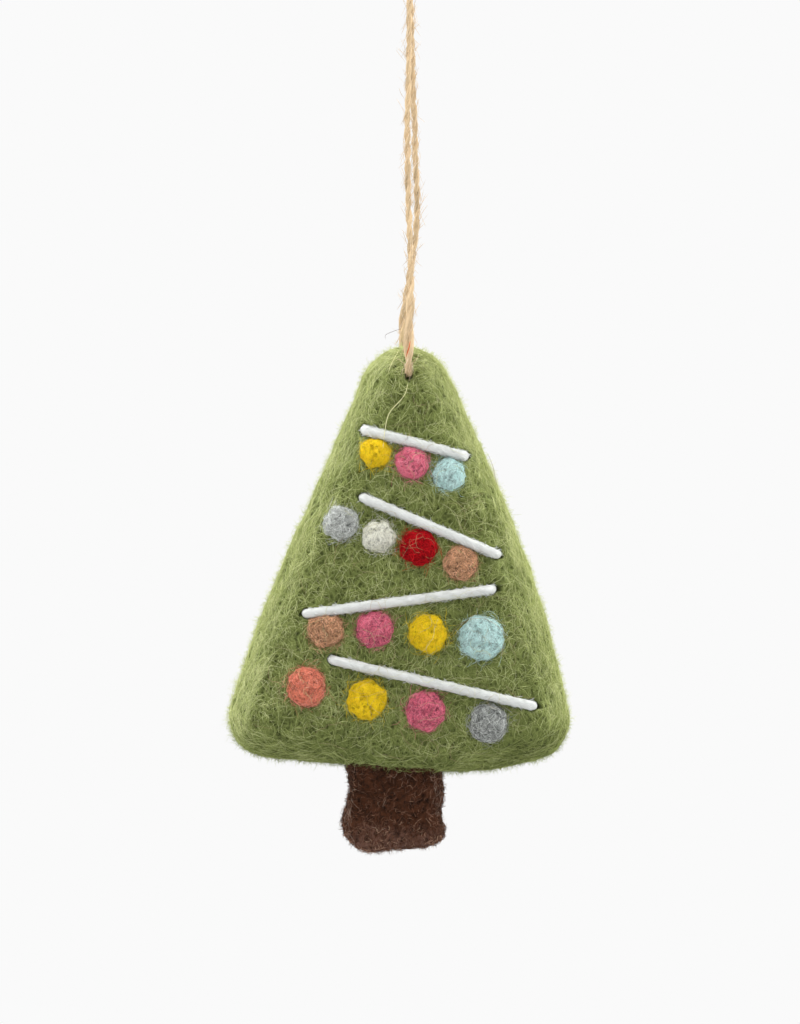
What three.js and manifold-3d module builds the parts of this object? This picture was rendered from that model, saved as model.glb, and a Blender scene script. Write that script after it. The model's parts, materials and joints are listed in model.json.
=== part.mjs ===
// A needle-felted wool Christmas tree that hangs on a loop of jute twine, in millimetres.
// +Z is up, +X is to the viewer's right, and the decorated front faces -Y.
// The origin is the hanging point, between the two strands of twine just below their knot.

import * as THREE from 'three';
import { mergeVertices } from 'three/addons/utils/BufferGeometryUtils.js';
import Module from 'manifold-3d';

const wasm = await Module();
wasm.setup();

// Clearances

const GAP = 0.3; // between pieces that touch on the real ornament
const OVERRUN = 3; // how far a cutter runs past the wool that it cuts

// Twine and its eyelet. The tree's own frame has its origin on the twine, in the eyelet.

const TWINE_DIAMETER = 1.3;
const EYELET_DROP = 75.6; // from the hanging point down to the twine in the eyelet
const EYELET_X = -0.3; // the eyelet hangs a little to the left of the hanging point
const EYELET_INSET = 5.5; // from the tree's tip down to the twine in the eyelet
const EYELET_RADIUS = 1.35;
const EYELET_LIP_RADIUS = 1.7; // the wool is rounded where the twine bends over it
const TWINE_SIDES = 8;
const STRAND_STEPS = 46;

// Knot

const KNOT_RADIUS = 2.3;
const KNOT_HEIGHT = 5.2;
const KNOT_TAIL_LENGTH = 5.5; // how far each cut end stands out of the knot
const KNOT_TAIL_SPREAD = 2.6; // how far each cut end leans to its side

// Body of the tree, a triangle with three round corners

const BODY_HEIGHT = 81.3; // from the tip to the underside of the left corner
const LEFT_REACH = 35.8; // from the twine in the eyelet to the left edge
const RIGHT_REACH = 31.9;
const TIP_RADIUS = 8.8;
const TIP_X = -0.5;
const LEFT_CORNER_RADIUS = 7.6;
const RIGHT_CORNER_RADIUS = 8.4;
const RIGHT_CORNER_DROP = 1.2; // the right corner hangs lower than the left one
const LEFT_BULGE = 0.9; // how far each side swells past a straight line
const UNDERSIDE_BULGE = 2.5;
const RIGHT_BULGE = 2.3;
const LEFT_BULGE_PEAK_SHARE = 0.68; // where along its side, going round by way of the left corner
const UNDERSIDE_BULGE_PEAK_SHARE = 0.66;
const RIGHT_BULGE_PEAK_SHARE = 0.45;
const BASE_THICKNESS = 20.4;
const TIP_THICKNESS = 16;
const CROWN = 0.5; // how far the middle of each face stands proud of its rim

// Batting core inside the green wool

const COAT_WALL = 3.3;
const CORE_TIP_RADIUS = 4.5;
const CORE_TIP_DROP = 9; // the core's tip lies this far below the centre of the coat's tip

// Trunk, two thick felt pads with their seam at the sides, let into the underside

const TRUNK_WIDTH = 18.6;
const TRUNK_HEIGHT = 16.4;
const TRUNK_X = -2.7;
const TRUNK_TENON = 8; // how far it reaches up into the wool
const TRUNK_PAD_THICKNESS = 5.5;
const TRUNK_FACE_ROUNDING = 2; // on the outer face's edge
const TRUNK_SEAM_ROUNDING = 0.6; // on the edge at the seam

// Wool baubles and yarn garlands on the front

const BAUBLE_DIAMETER = 8;
const BAUBLE_RISE = 2.1; // how far a bauble stands out of the wool
const GARLAND_DIAMETER = 2;
const GARLAND_STAND = 0.85; // from the wool up to the middle of the yarn, which is pulled tight
const GARLAND_BEND_RADIUS = 2;
const GARLAND_END_COVER = 0.9; // wool left between each buried end of the yarn and the core
const GARLAND_SIDES = 8;
const GARLAND_STEPS = 22;

// Colours

const GREEN = 0x7a8750;
const BATTING = 0xd9d3c2;
const BROWN = 0x4e3226;
const JUTE = 0xdcbf92;
const YARN = 0xe9ebe8;
const BAUBLE_COLOURS = {
  yellow: 0xdcb81c,
  pink: 0xc15a74,
  aqua: 0xa3c6c2,
  grey: 0x94979a,
  cream: 0xc9cab8,
  red: 0x96101a,
  tan: 0xa97c5e,
  coral: 0xc4705a,
};

// Each bauble's row, colour and centre, across the body's width from the eyelet's twine
// and down its height from the tip, and its size against BAUBLE_DIAMETER
const BAUBLE_SHARES = [
  ['row1', 'yellow', -0.096, 0.26, 0.78],
  ['row1', 'pink', 0.01, 0.284, 0.84],
  ['row1', 'aqua', 0.114, 0.314, 0.84],
  ['row2', 'grey', -0.195, 0.435, 0.88],
  ['row2', 'cream', -0.086, 0.466, 0.82],
  ['row2', 'red', 0.028, 0.491, 0.94],
  ['row2', 'tan', 0.152, 0.53, 0.87],
  ['row3', 'tan', -0.241, 0.69, 0.93],
  ['row3', 'pink', -0.099, 0.69, 0.95],
  ['row3', 'yellow', 0.056, 0.702, 1],
  ['row3', 'aqua', 0.211, 0.712, 1.15],
  ['row4', 'coral', -0.298, 0.83, 1],
  ['row4', 'yellow', -0.123, 0.86, 1.02],
  ['row4', 'pink', 0.049, 0.888, 1],
  ['row4', 'grey', 0.233, 0.916, 1],
];

// Each garland's place, left end and right end, across the width and down the height as above
const GARLAND_SHARES = [
  ['top', [-0.128, 0.205], [0.163, 0.268]],
  ['upper', [-0.133, 0.37], [0.258, 0.508]],
  ['lower', [-0.299, 0.652], [0.244, 0.593]],
  ['bottom', [-0.224, 0.764], [0.363, 0.876]],
];

// The trunk's outline below the tree, across half its width from its middle and down its height
const TRUNK_SHARES = [
  [-1.01, 0],
  [-0.94, 0.265],
  [-1.1, 0.665],
  [-1.05, 0.82],
  [-0.92, 0.925],
  [-0.72, 1],
  [0.11, 0.985],
  [0.65, 0.95],
  [0.95, 0.89],
  [1.07, 0.78],
  [0.94, 0.62],
  [1, 0.36],
  [0.97, 0],
];

// How far each ring of a pillow has left the edge, against the corner's radius,
// and each ring of its flat face against the way to the middle
const EDGE_SHARES = [0, 0.06, 0.24, 0.55, 1];
const FACE_SHARES = [0.5];
const ARC_STEPS = 8;
const SIDE_STEPS = 8;
const EDGE_POWER = 2.1; // 2 gives a round edge and more gives a squarer one

// Routes of the twine, from the knot down to the eyelet, as x, y and z from the hanging point
const FRONT_STRAND_ROUTE = [
  [-0.06, -0.8, 0],
  [-0.2, -1.86, -10],
  [-0.34, -2.92, -20],
  [-0.56, -3.4, -24.6],
  [-0.48, -4.04, -30.6],
  [-0.4, -4.88, -38.6],
  [-0.2, -5.52, -44.6],
  [0.04, -6.15, -50.6],
  [0.2, -6.8, -56.6],
  [0, -7.42, -62.6],
  [-0.24, -7.95, -67.6],
  [-0.3, -8.35, -71],
  [-0.3, -8.4, -72.9],
  [-0.3, -8.04, -74.27],
  [-0.3, -7.07, -75.24],
  [-0.3, -6.05, -75.58],
];
const BACK_STRAND_ROUTE = [
  [0.1, 0.8, 0],
  [0.4, 1.86, -10],
  [0.64, 2.92, -20],
  [0.96, 3.4, -24.6],
  [1.06, 4.04, -30.6],
  [1.4, 4.88, -38.6],
  [1.36, 5.52, -44.6],
  [0.7, 6.15, -50.6],
  [-0.28, 6.8, -56.6],
  [-1.1, 7.42, -62.6],
  [-1.5, 7.95, -67.6],
  [-0.9, 8.35, -71],
  [-0.5, 8.4, -72.9],
  [-0.34, 8.04, -74.27],
  [-0.3, 7.07, -75.24],
  [-0.3, 6.05, -75.58],
];

// Sizes that follow from those above

const BODY_WIDTH = LEFT_REACH + RIGHT_REACH;
const TIP_Z = EYELET_INSET;
const BASE_Z = TIP_Z - BODY_HEIGHT;
const TWINE_RADIUS = TWINE_DIAMETER / 2;
const GARLAND_RADIUS = GARLAND_DIAMETER / 2;
// The tree hangs on the twine, so the twine lies at the top of its eyelet
const EYELET_SAG = EYELET_RADIUS - TWINE_RADIUS - GAP;

const COAT_FORM = {
  corners: [
    { x: TIP_X, z: TIP_Z - TIP_RADIUS, radius: TIP_RADIUS },
    { x: LEFT_CORNER_RADIUS - LEFT_REACH, z: BASE_Z + LEFT_CORNER_RADIUS, radius: LEFT_CORNER_RADIUS },
    {
      x: RIGHT_REACH - RIGHT_CORNER_RADIUS,
      z: BASE_Z + RIGHT_CORNER_RADIUS - RIGHT_CORNER_DROP,
      radius: RIGHT_CORNER_RADIUS,
    },
  ],
  sides: [
    { bulge: LEFT_BULGE, peakShare: LEFT_BULGE_PEAK_SHARE },
    { bulge: UNDERSIDE_BULGE, peakShare: UNDERSIDE_BULGE_PEAK_SHARE },
    { bulge: RIGHT_BULGE, peakShare: RIGHT_BULGE_PEAK_SHARE },
  ],
  tipHalf: TIP_THICKNESS / 2,
  baseHalf: BASE_THICKNESS / 2,
};

// The core keeps the wall's distance from the coat's outside, but stops short of the eyelet
const CORE_FORM = {
  corners: COAT_FORM.corners.map((corner, index) => ({
    x: corner.x,
    z: index === 0 ? corner.z - CORE_TIP_DROP : corner.z,
    radius: index === 0 ? CORE_TIP_RADIUS : corner.radius - COAT_WALL,
  })),
  sides: COAT_FORM.sides,
  tipHalf: COAT_FORM.tipHalf - COAT_WALL,
  baseHalf: COAT_FORM.baseHalf - COAT_WALL,
};

// Solids and geometries

function toSolid(geometry) {
  const bare = geometry.clone();
  bare.deleteAttribute('normal');
  bare.deleteAttribute('uv');
  const merged = mergeVertices(bare);
  const corners = merged.index.array;
  const kept = [];
  for (let i = 0; i < corners.length; i += 3) {
    const [a, b, c] = [corners[i], corners[i + 1], corners[i + 2]];
    if (a !== b && b !== c && c !== a) {
      kept.push(a, b, c);
    }
  }
  const vertProperties = new Float32Array(merged.attributes.position.array);
  const triVerts = new Uint32Array(kept);
  return new wasm.Manifold(new wasm.Mesh({ numProp: 3, vertProperties, triVerts }));
}

function toGeometry(solid) {
  const mesh = solid.getMesh();
  const geometry = new THREE.BufferGeometry();
  geometry.setAttribute('position', new THREE.BufferAttribute(mesh.vertProperties, 3));
  geometry.setIndex(new THREE.BufferAttribute(mesh.triVerts, 1));
  geometry.computeVertexNormals();
  return geometry;
}

function cut(solid, cutters) {
  return cutters.reduce((left, cutter) => left.subtract(cutter), solid);
}

// A skin over rings of equally many points, closed by a fan at each end
function loft(rings) {
  const count = rings[0].length;
  const middles = [rings[0], rings[rings.length - 1]].map((ring) => {
    const middle = new THREE.Vector3();
    ring.forEach((point) => middle.add(point));
    return middle.divideScalar(count);
  });
  const points = [...rings.flat(), ...middles];
  const firstMiddle = points.length - 2;
  const lastMiddle = points.length - 1;
  const lastRing = (rings.length - 1) * count;
  const triangles = [];
  for (let j = 0; j < count; j += 1) {
    const next = (j + 1) % count;
    triangles.push(firstMiddle, next, j);
    triangles.push(lastMiddle, lastRing + j, lastRing + next);
    for (let i = 0; i < lastRing; i += count) {
      triangles.push(i + j, i + next, i + count + next);
      triangles.push(i + j, i + count + next, i + count + j);
    }
  }
  const geometry = new THREE.BufferGeometry();
  geometry.setFromPoints(points);
  geometry.setIndex(triangles);
  return geometry;
}

// The angle of the outward normal on the straight tangent from one corner circle to the next
function tangentAngle(from, to) {
  const dx = to.x - from.x;
  const dz = to.z - from.z;
  const lean = Math.acos((from.radius - to.radius) / Math.hypot(dx, dz));
  return Math.atan2(dz, dx) - lean;
}

// One ring of a pillow: share 0 is its edge, and at share 1 it runs through the corners' centres
function pillowRing(form, share, grow) {
  const points = [];
  const count = form.corners.length;
  form.corners.forEach((corner, index) => {
    const previous = form.corners[(index + count - 1) % count];
    const next = form.corners[(index + 1) % count];
    const turn = 2 * Math.PI;
    const start = tangentAngle(previous, corner);
    const end = tangentAngle(corner, next);
    const sweep = (((end - start) % turn) + turn) % turn;
    const onCircle = (circle, angle) => {
      const radius = (circle.radius + grow) * (1 - share);
      return new THREE.Vector3(
        circle.x + radius * Math.cos(angle),
        0,
        circle.z + radius * Math.sin(angle),
      );
    };
    for (let step = 0; step < ARC_STEPS; step += 1) {
      points.push(onCircle(corner, start + (sweep * step) / ARC_STEPS));
    }
    const sideStart = onCircle(corner, end);
    const sideEnd = onCircle(next, tangentAngle(corner, next));
    const outward = new THREE.Vector3(Math.cos(end), 0, Math.sin(end));
    const { bulge, peakShare } = form.sides[index];
    const power = Math.log(0.5) / Math.log(peakShare);
    for (let step = 0; step < SIDE_STEPS; step += 1) {
      const t = step / SIDE_STEPS;
      const swell = bulge * (1 - share) * Math.sin(Math.PI * t ** power);
      points.push(sideStart.clone().lerp(sideEnd, t).addScaledVector(outward, swell));
    }
  });
  return points;
}

// A stuffed triangle with a round edge, thicker at its base, as rings from the back to the front
function pillow(form, grow = 0) {
  const [tip, left, right] = form.corners;
  const middle = new THREE.Vector3((tip.x + left.x + right.x) / 3, 0, (tip.z + left.z + right.z) / 3);
  const lowest = Math.min(left.z, right.z);
  const halfThickness = (z) => {
    const rise = THREE.MathUtils.clamp((z - lowest) / (tip.z - lowest), 0, 1);
    return THREE.MathUtils.lerp(form.baseHalf, form.tipHalf, rise) + grow;
  };
  const lift = (ring, depthShare, proud) =>
    ring.map((point) => {
      const lifted = point.clone();
      lifted.y = -(halfThickness(point.z) * depthShare + proud);
      return lifted;
    });
  const front = EDGE_SHARES.map((share) => {
    const depthShare = (1 - (1 - share) ** EDGE_POWER) ** (1 / EDGE_POWER);
    return lift(pillowRing(form, share, grow), depthShare, 0);
  });
  const rim = pillowRing(form, 1, grow);
  FACE_SHARES.forEach((share) => {
    const ring = rim.map((point) => point.clone().lerp(middle, share));
    front.push(lift(ring, 1, CROWN * (1 - (1 - share) ** 2)));
  });
  const back = front.slice(1).map((ring) =>
    ring.map((point) => new THREE.Vector3(point.x, -point.y, point.z)),
  );
  return loft([...back.reverse(), ...front]);
}

// A tube of round section along a route
function tube(route, radius, sides, steps) {
  const section = new THREE.Shape();
  for (let i = 0; i < sides; i += 1) {
    const angle = (2 * Math.PI * i) / sides;
    const [x, y] = [radius * Math.cos(angle), radius * Math.sin(angle)];
    if (i === 0) {
      section.moveTo(x, y);
    } else {
      section.lineTo(x, y);
    }
  }
  section.closePath();
  const path = new THREE.CatmullRomCurve3(route);
  return new THREE.ExtrudeGeometry(section, { steps, extrudePath: path });
}

function toRoute(places) {
  return places.map(([x, y, z]) => new THREE.Vector3(x, y, z));
}

// Where the front of the tree's wool is, at a place across and up

const coatOutside = pillow(COAT_FORM);
const frontOfWool = new THREE.Mesh(coatOutside);
const raycaster = new THREE.Raycaster();

function woolFront(x, z) {
  const from = new THREE.Vector3(x, -BASE_THICKNESS, z);
  raycaster.set(from, new THREE.Vector3(0, 1, 0));
  return raycaster.intersectObject(frontOfWool)[0].point.y;
}

// A place on the tree from its shares of the body's width and height
function placeOnTree(acrossShare, downShare) {
  return [acrossShare * BODY_WIDTH, TIP_Z - downShare * BODY_HEIGHT];
}

// Eyelet

const eyeletHalf = -woolFront(0, -EYELET_SAG);

// The bore runs through from front to back and opens out over a round lip at each face
function eyeletCutter() {
  const lipStart = eyeletHalf - EYELET_LIP_RADIUS;
  const lipSteps = 5;
  const half = [];
  for (let i = 0; i <= lipSteps; i += 1) {
    const angle = (Math.PI / 2) * (i / lipSteps);
    half.push(new THREE.Vector2(
      EYELET_RADIUS + EYELET_LIP_RADIUS * (1 - Math.cos(angle)),
      lipStart + EYELET_LIP_RADIUS * Math.sin(angle),
    ));
  }
  half.push(new THREE.Vector2(EYELET_RADIUS + EYELET_LIP_RADIUS, eyeletHalf + OVERRUN));
  half.push(new THREE.Vector2(0, eyeletHalf + OVERRUN));
  const mirrored = half.map((point) => new THREE.Vector2(point.x, -point.y)).reverse();
  const bore = new THREE.LatheGeometry([...mirrored, ...half], 16);
  bore.translate(0, 0, -EYELET_SAG);
  return toSolid(bore);
}

// Garlands

// The yarn comes up out of the wool, lies along it and goes back in
function garlandRoute(startShares, endShares) {
  const [startX, startZ] = placeOnTree(...startShares);
  const [endX, endZ] = placeOnTree(...endShares);
  const length = Math.hypot(endX - startX, endZ - startZ);
  const yarnAt = (along) => {
    const t = along / length;
    const x = THREE.MathUtils.lerp(startX, endX, t);
    const z = THREE.MathUtils.lerp(startZ, endZ, t);
    return new THREE.Vector3(x, woolFront(x, z) - GARLAND_STAND, z);
  };
  const endBend = (along, side) => {
    const top = yarnAt(along + side * GARLAND_BEND_RADIUS);
    const foot = yarnAt(along);
    const bend = [1, 0.5, 0].map((turnShare) => {
      const angle = (Math.PI / 2) * turnShare;
      const point = top.clone().lerp(foot, Math.sin(angle));
      point.y = top.y + GARLAND_BEND_RADIUS * (1 - Math.cos(angle));
      return point;
    });
    const deep = foot.clone();
    deep.y = foot.y + GARLAND_STAND + COAT_WALL - GAP - GARLAND_END_COVER;
    return [deep, ...bend];
  };
  const route = endBend(0, 1);
  const lyingSteps = 5;
  const lying = length - 2 * GARLAND_BEND_RADIUS;
  for (let i = 1; i < lyingSteps; i += 1) {
    route.push(yarnAt(GARLAND_BEND_RADIUS + (lying * i) / lyingSteps));
  }
  return [...route, ...endBend(length, -1).reverse()];
}

const garlands = GARLAND_SHARES.map(([place, startShares, endShares]) => {
  const route = garlandRoute(startShares, endShares);
  return {
    name: `garland_${place}`,
    yarn: toSolid(tube(route, GARLAND_RADIUS, GARLAND_SIDES, GARLAND_STEPS)),
    channel: toSolid(tube(route, GARLAND_RADIUS + GAP, GARLAND_SIDES, GARLAND_STEPS)),
  };
});
const channels = garlands.map(({ channel }) => channel);

// Baubles

function baubleSolid({ centre, radius }, grow) {
  const ball = new THREE.SphereGeometry(1, 14, 8);
  ball.scale(radius + grow, BAUBLE_RISE + grow, radius + grow);
  ball.translate(centre.x, centre.y, centre.z);
  return toSolid(ball);
}

const baubles = BAUBLE_SHARES.map(([row, colour, acrossShare, downShare, sizeShare]) => {
  const [x, z] = placeOnTree(acrossShare, downShare);
  return {
    name: `bauble_${row}_${colour}`,
    colour: BAUBLE_COLOURS[colour],
    centre: new THREE.Vector3(x, woolFront(x, z), z),
    radius: (BAUBLE_DIAMETER * sizeShare) / 2,
  };
});

// Each bauble is seated on the wool, beside its neighbour and under the yarn that crosses it
function seatedBauble(bauble, index) {
  const seat = toSolid(pillow(COAT_FORM, GAP));
  const earlier = baubles.slice(0, index).map((other) => baubleSolid(other, GAP));
  return cut(baubleSolid(bauble, 0), [seat, ...channels, ...earlier]);
}

// Trunk

function trunkOutline() {
  const underside = BASE_Z - UNDERSIDE_BULGE;
  const half = TRUNK_WIDTH / 2;
  const visible = TRUNK_SHARES.map(
    ([acrossShare, downShare]) =>
      new THREE.Vector3(TRUNK_X + acrossShare * half, 0, underside - downShare * TRUNK_HEIGHT),
  );
  const top = underside + TRUNK_TENON;
  const tenon = [
    new THREE.Vector3(TRUNK_X + half, 0, top),
    new THREE.Vector3(TRUNK_X - half, 0, top),
  ];
  const curve = new THREE.CatmullRomCurve3([...visible, ...tenon], true);
  return curve.getSpacedPoints(44).slice(0, -1);
}

// The outline moved inwards along its own normals
function inset(outline, distance, y) {
  const count = outline.length;
  return outline.map((point, index) => {
    const before = outline[(index + count - 1) % count];
    const after = outline[(index + 1) % count];
    const along = after.clone().sub(before).normalize();
    return new THREE.Vector3(point.x - along.z * distance, y, point.z + along.x * distance);
  });
}

// One pad, on the side where y has the given sign, swollen all round by grow
function trunkPad(sign, grow) {
  const outline = trunkOutline();
  const seam = GAP / 2 - grow;
  const face = GAP / 2 + TRUNK_PAD_THICKNESS + grow;
  const half = Math.SQRT1_2;
  const layers = [
    [TRUNK_SEAM_ROUNDING, seam],
    [0, seam + TRUNK_SEAM_ROUNDING],
    [0, face - TRUNK_FACE_ROUNDING],
    [TRUNK_FACE_ROUNDING * (1 - half), face - TRUNK_FACE_ROUNDING * (1 - half)],
    [TRUNK_FACE_ROUNDING, face],
  ];
  const rings = layers.map(([distance, depth]) => inset(outline, distance - grow, sign * depth));
  return toSolid(loft(sign < 0 ? rings : rings.reverse()));
}

const trunkSocket = [trunkPad(-1, GAP), trunkPad(1, GAP)];

// Knot of the twine loop, with its two cut ends

function knotSolid() {
  const profile = [];
  const steps = 8;
  for (let i = 0; i <= steps; i += 1) {
    const angle = -Math.PI / 2 + (Math.PI * i) / steps;
    profile.push(new THREE.Vector2(
      KNOT_RADIUS * Math.cos(angle),
      (KNOT_HEIGHT / 2) * Math.sin(angle),
    ));
  }
  const ball = new THREE.LatheGeometry(profile, 14);
  ball.rotateX(Math.PI / 2);
  ball.translate(0, 0, GAP + KNOT_HEIGHT / 2);
  const tails = [-1, 1].map((side) => {
    const crown = GAP + KNOT_HEIGHT;
    const route = [
      new THREE.Vector3(0, 0, crown - KNOT_HEIGHT / 3),
      new THREE.Vector3((side * KNOT_TAIL_SPREAD) / 3, 0, crown + KNOT_TAIL_LENGTH / 3),
      new THREE.Vector3(side * KNOT_TAIL_SPREAD, side * TWINE_RADIUS, crown + KNOT_TAIL_LENGTH),
    ];
    return toSolid(tube(route, TWINE_RADIUS, TWINE_SIDES, 4));
  });
  return tails.reduce((joined, tail) => joined.add(tail), toSolid(ball));
}

// The straight run of twine through the eyelet, in the tree's frame
function eyeletRunSolid() {
  const reach = eyeletHalf - EYELET_LIP_RADIUS;
  const route = [new THREE.Vector3(0, -reach, 0), new THREE.Vector3(0, reach, 0)];
  return toSolid(tube(route, TWINE_RADIUS, TWINE_SIDES, 4));
}

// Assembly

function felt(colour) {
  return new THREE.MeshStandardMaterial({ color: colour, roughness: 0.95, metalness: 0 });
}

function addPiece(group, name, solid, colour, centre = new THREE.Vector3()) {
  const geometry = toGeometry(solid);
  geometry.translate(-centre.x, -centre.y, -centre.z);
  const mesh = new THREE.Mesh(geometry, felt(colour));
  mesh.name = name;
  mesh.position.copy(centre);
  group.add(mesh);
}

const ornament = new THREE.Group();
const tree = new THREE.Group();
tree.position.set(EYELET_X, 0, -EYELET_DROP);
const twineInEyelet = new THREE.Group();
twineInEyelet.position.copy(tree.position);
ornament.add(tree, twineInEyelet);

const eyelet = eyeletCutter();
const core = cut(toSolid(pillow(CORE_FORM)), trunkSocket);
const cavity = toSolid(pillow(CORE_FORM, GAP));
const coat = cut(toSolid(coatOutside), [cavity, eyelet, ...channels, ...trunkSocket]);

addPiece(tree, 'wool_core', core, BATTING);
addPiece(tree, 'green_coat', coat, GREEN);
addPiece(tree, 'trunk_front_pad', trunkPad(-1, 0), BROWN);
addPiece(tree, 'trunk_back_pad', trunkPad(1, 0), BROWN);
garlands.forEach(({ name, yarn }) => addPiece(tree, name, yarn, YARN));
baubles.forEach((bauble, index) => {
  addPiece(tree, bauble.name, seatedBauble(bauble, index), bauble.colour, bauble.centre);
});
addPiece(twineInEyelet, 'twine_eyelet_run', eyeletRunSolid(), JUTE);

const strands = {
  twine_front_strand: FRONT_STRAND_ROUTE,
  twine_back_strand: BACK_STRAND_ROUTE,
};
Object.entries(strands).forEach(([name, places]) => {
  const strand = toSolid(tube(toRoute(places), TWINE_RADIUS, TWINE_SIDES, STRAND_STEPS));
  addPiece(ornament, name, strand, JUTE);
});
addPiece(ornament, 'twine_knot', knotSolid(), JUTE);

export default ornament;
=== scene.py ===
"""Looks for a needle-felted wool tree that hangs on a loop of jute twine.

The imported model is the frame, and every piece takes its place from a node of it. Lengths are in
metres, +Z is up, and the decorated front faces -Y.
"""

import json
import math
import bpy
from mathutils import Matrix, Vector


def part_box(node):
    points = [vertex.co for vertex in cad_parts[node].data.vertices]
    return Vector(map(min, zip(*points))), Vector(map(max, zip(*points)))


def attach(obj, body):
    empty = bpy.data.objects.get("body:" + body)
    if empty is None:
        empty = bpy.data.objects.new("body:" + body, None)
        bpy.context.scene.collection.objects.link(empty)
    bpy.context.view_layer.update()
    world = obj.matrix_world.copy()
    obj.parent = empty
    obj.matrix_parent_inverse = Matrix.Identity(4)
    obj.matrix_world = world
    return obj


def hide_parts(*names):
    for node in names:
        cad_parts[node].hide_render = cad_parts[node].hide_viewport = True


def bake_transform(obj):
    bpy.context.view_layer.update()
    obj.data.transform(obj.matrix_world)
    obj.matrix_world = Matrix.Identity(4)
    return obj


bl_info = {
    "name": "Felted tree ornament",
    "version": (1, 0, 0),
    "blender": (4, 5, 0),
    "location": "3D View > Sidebar > Felted tree",
    "description": "Dresses the packed wool tree in felt, fibres, yarn and jute twine",
    "category": "Object",
}

import bmesh
import bpy
import numpy as np
from bpy.props import FloatProperty, FloatVectorProperty, IntProperty, PointerProperty
from mathutils import Vector, noise
from mathutils.bvhtree import BVHTree
from mathutils.kdtree import KDTree

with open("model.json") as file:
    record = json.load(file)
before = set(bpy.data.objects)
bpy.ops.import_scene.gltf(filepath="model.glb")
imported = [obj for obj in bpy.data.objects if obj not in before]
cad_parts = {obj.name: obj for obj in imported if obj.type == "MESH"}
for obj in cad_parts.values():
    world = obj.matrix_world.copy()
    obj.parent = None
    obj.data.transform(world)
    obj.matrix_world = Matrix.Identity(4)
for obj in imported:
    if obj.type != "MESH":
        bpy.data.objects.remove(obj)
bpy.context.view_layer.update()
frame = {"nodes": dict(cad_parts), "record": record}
NODES = frame["nodes"]
SLOT_COLOURS = {row["slot"]: row["base_color"] for row in frame["record"]["materials"]}
SLOT_OF = {row["node"]: row["material_slot"] for row in frame["record"]["subparts"]}

MM = 0.001
KNOT, STRANDS, TREE = "knot", "strands", "tree"
FRONT = -1  # the sign of y on the decorated side
BAUBLES = sorted(name for name in NODES if name.startswith("bauble_"))
GARLANDS = sorted(name for name in NODES if name.startswith("garland_"))
STATIONS = 6  # places along each short fibre
FEW_STATIONS = 5  # and along the shortest and finest ones

# The two strands in millimetres, from the knot down to the eyelet, as in the part's source: height,
# depth on the strand's own side, and the place across of the front and of the back strand
STRAND_ROWS = (
    (0, 0.8, -0.06, 0.1),
    (-10, 1.86, -0.2, 0.4),
    (-20, 2.92, -0.34, 0.64),
    (-24.6, 3.4, -0.56, 0.96),
    (-30.6, 4.04, -0.48, 1.06),
    (-38.6, 4.88, -0.4, 1.4),
    (-44.6, 5.52, -0.2, 1.36),
    (-50.6, 6.15, 0.04, 0.7),
    (-56.6, 6.8, 0.2, -0.28),
    (-62.6, 7.42, 0, -1.1),
    (-67.6, 7.95, -0.24, -1.5),
    (-71, 8.35, -0.3, -0.9),
    (-72.9, 8.4, -0.3, -0.5),
    (-74.27, 8.04, -0.3, -0.34),
    (-75.24, 7.07, -0.3, -0.3),
    (-75.58, 6.05, -0.3, -0.3),
)
FRONT_STRAND_ROUTE = [(across, FRONT * depth, height) for height, depth, across, _ in STRAND_ROWS]
BACK_STRAND_ROUTE = [(across, -FRONT * depth, height) for height, depth, _, across in STRAND_ROWS]


# What a user may change


def length(name, description, default):
    return FloatProperty(
        name=name,
        description=description,
        default=default,
        min=0,
        precision=5,
        unit="LENGTH",
        subtype="DISTANCE",
    )


def colour(name, description, default):
    return FloatVectorProperty(
        name=name, description=description, default=default, min=0, max=1, subtype="COLOR"
    )


def count(name, description, default):
    return IntProperty(name=name, description=description, default=default, min=0)


# How a slot's single fibres differ in red, green and blue from the colour that is seen, because
# light that passes from fibre to fibre comes out darker and deeper
FIBRE_GAIN = {
    "green_wool": (1.06, 1.06, 0.94),
    "yellow_wool": (1.15, 1.3, 1.1),
    "pink_wool": (1.06, 1.26, 1.12),
    "aqua_wool": (1.22, 1.13, 1.16),
    "grey_wool": (1.1, 1.07, 1.02),
    "cream_wool": (1.28, 1.25, 1.32),
    "red_wool": (1, 0.45, 0.6),
    "tan_wool": (1.03, 1.14, 1.16),
    "coral_wool": (1.18, 1.32, 1.23),
}


def fibre_shade(slot):
    gain = FIBRE_GAIN.get(slot, (1, 1, 1))
    return tuple(min(part * more, 1) for part, more in zip(SLOT_COLOURS[slot], gain))


class FinishColours(bpy.types.PropertyGroup):
    """The fibres' colour in each of the record's material slots."""

    __annotations__ = {
        slot: colour(slot.replace("_", " ").capitalize(), f"Colour of {slot}", fibre_shade(slot))
        for slot in SLOT_COLOURS
    }


class TwineSettings(bpy.types.PropertyGroup):
    """Sizes of the jute twine."""

    diameter: length("Diameter", "Thickness of the twine", 1.3 * MM)
    pitch: length("Pitch", "Length in which the two plies make one turn", 6.4 * MM)
    hairs: count("Loose hairs", "Number of jute hairs that stand off each strand", 340)


class WoolSettings(bpy.types.PropertyGroup):
    """Sizes of the green wool and of the fibres that lie on it."""

    voxel: length("Mesh size", "Size of the faces of the felted body", 0.45 * MM)
    lump_height: length("Lump height", "How far the lumps rise and fall", 0.7 * MM)
    fibres: count("Fibres", "Number of fibres that lie on the green wool", 45500)
    flyaways: count("Flyaways", "Number of fine fibres that stand off the outline", 15500)
    pits: count("Needle pits", "Number of small dents that the needle left", 3600)


class TrunkSettings(bpy.types.PropertyGroup):
    """Sizes of the trunk's felt."""

    voxel: length("Mesh size", "Size of the faces of the felt pads", 0.3 * MM)
    fibres: count("Fibres", "Number of fibres that lie on the trunk", 4700)
    standing: count("Standing fibres", "Number of short fibres that stand off the trunk", 2000)


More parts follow.
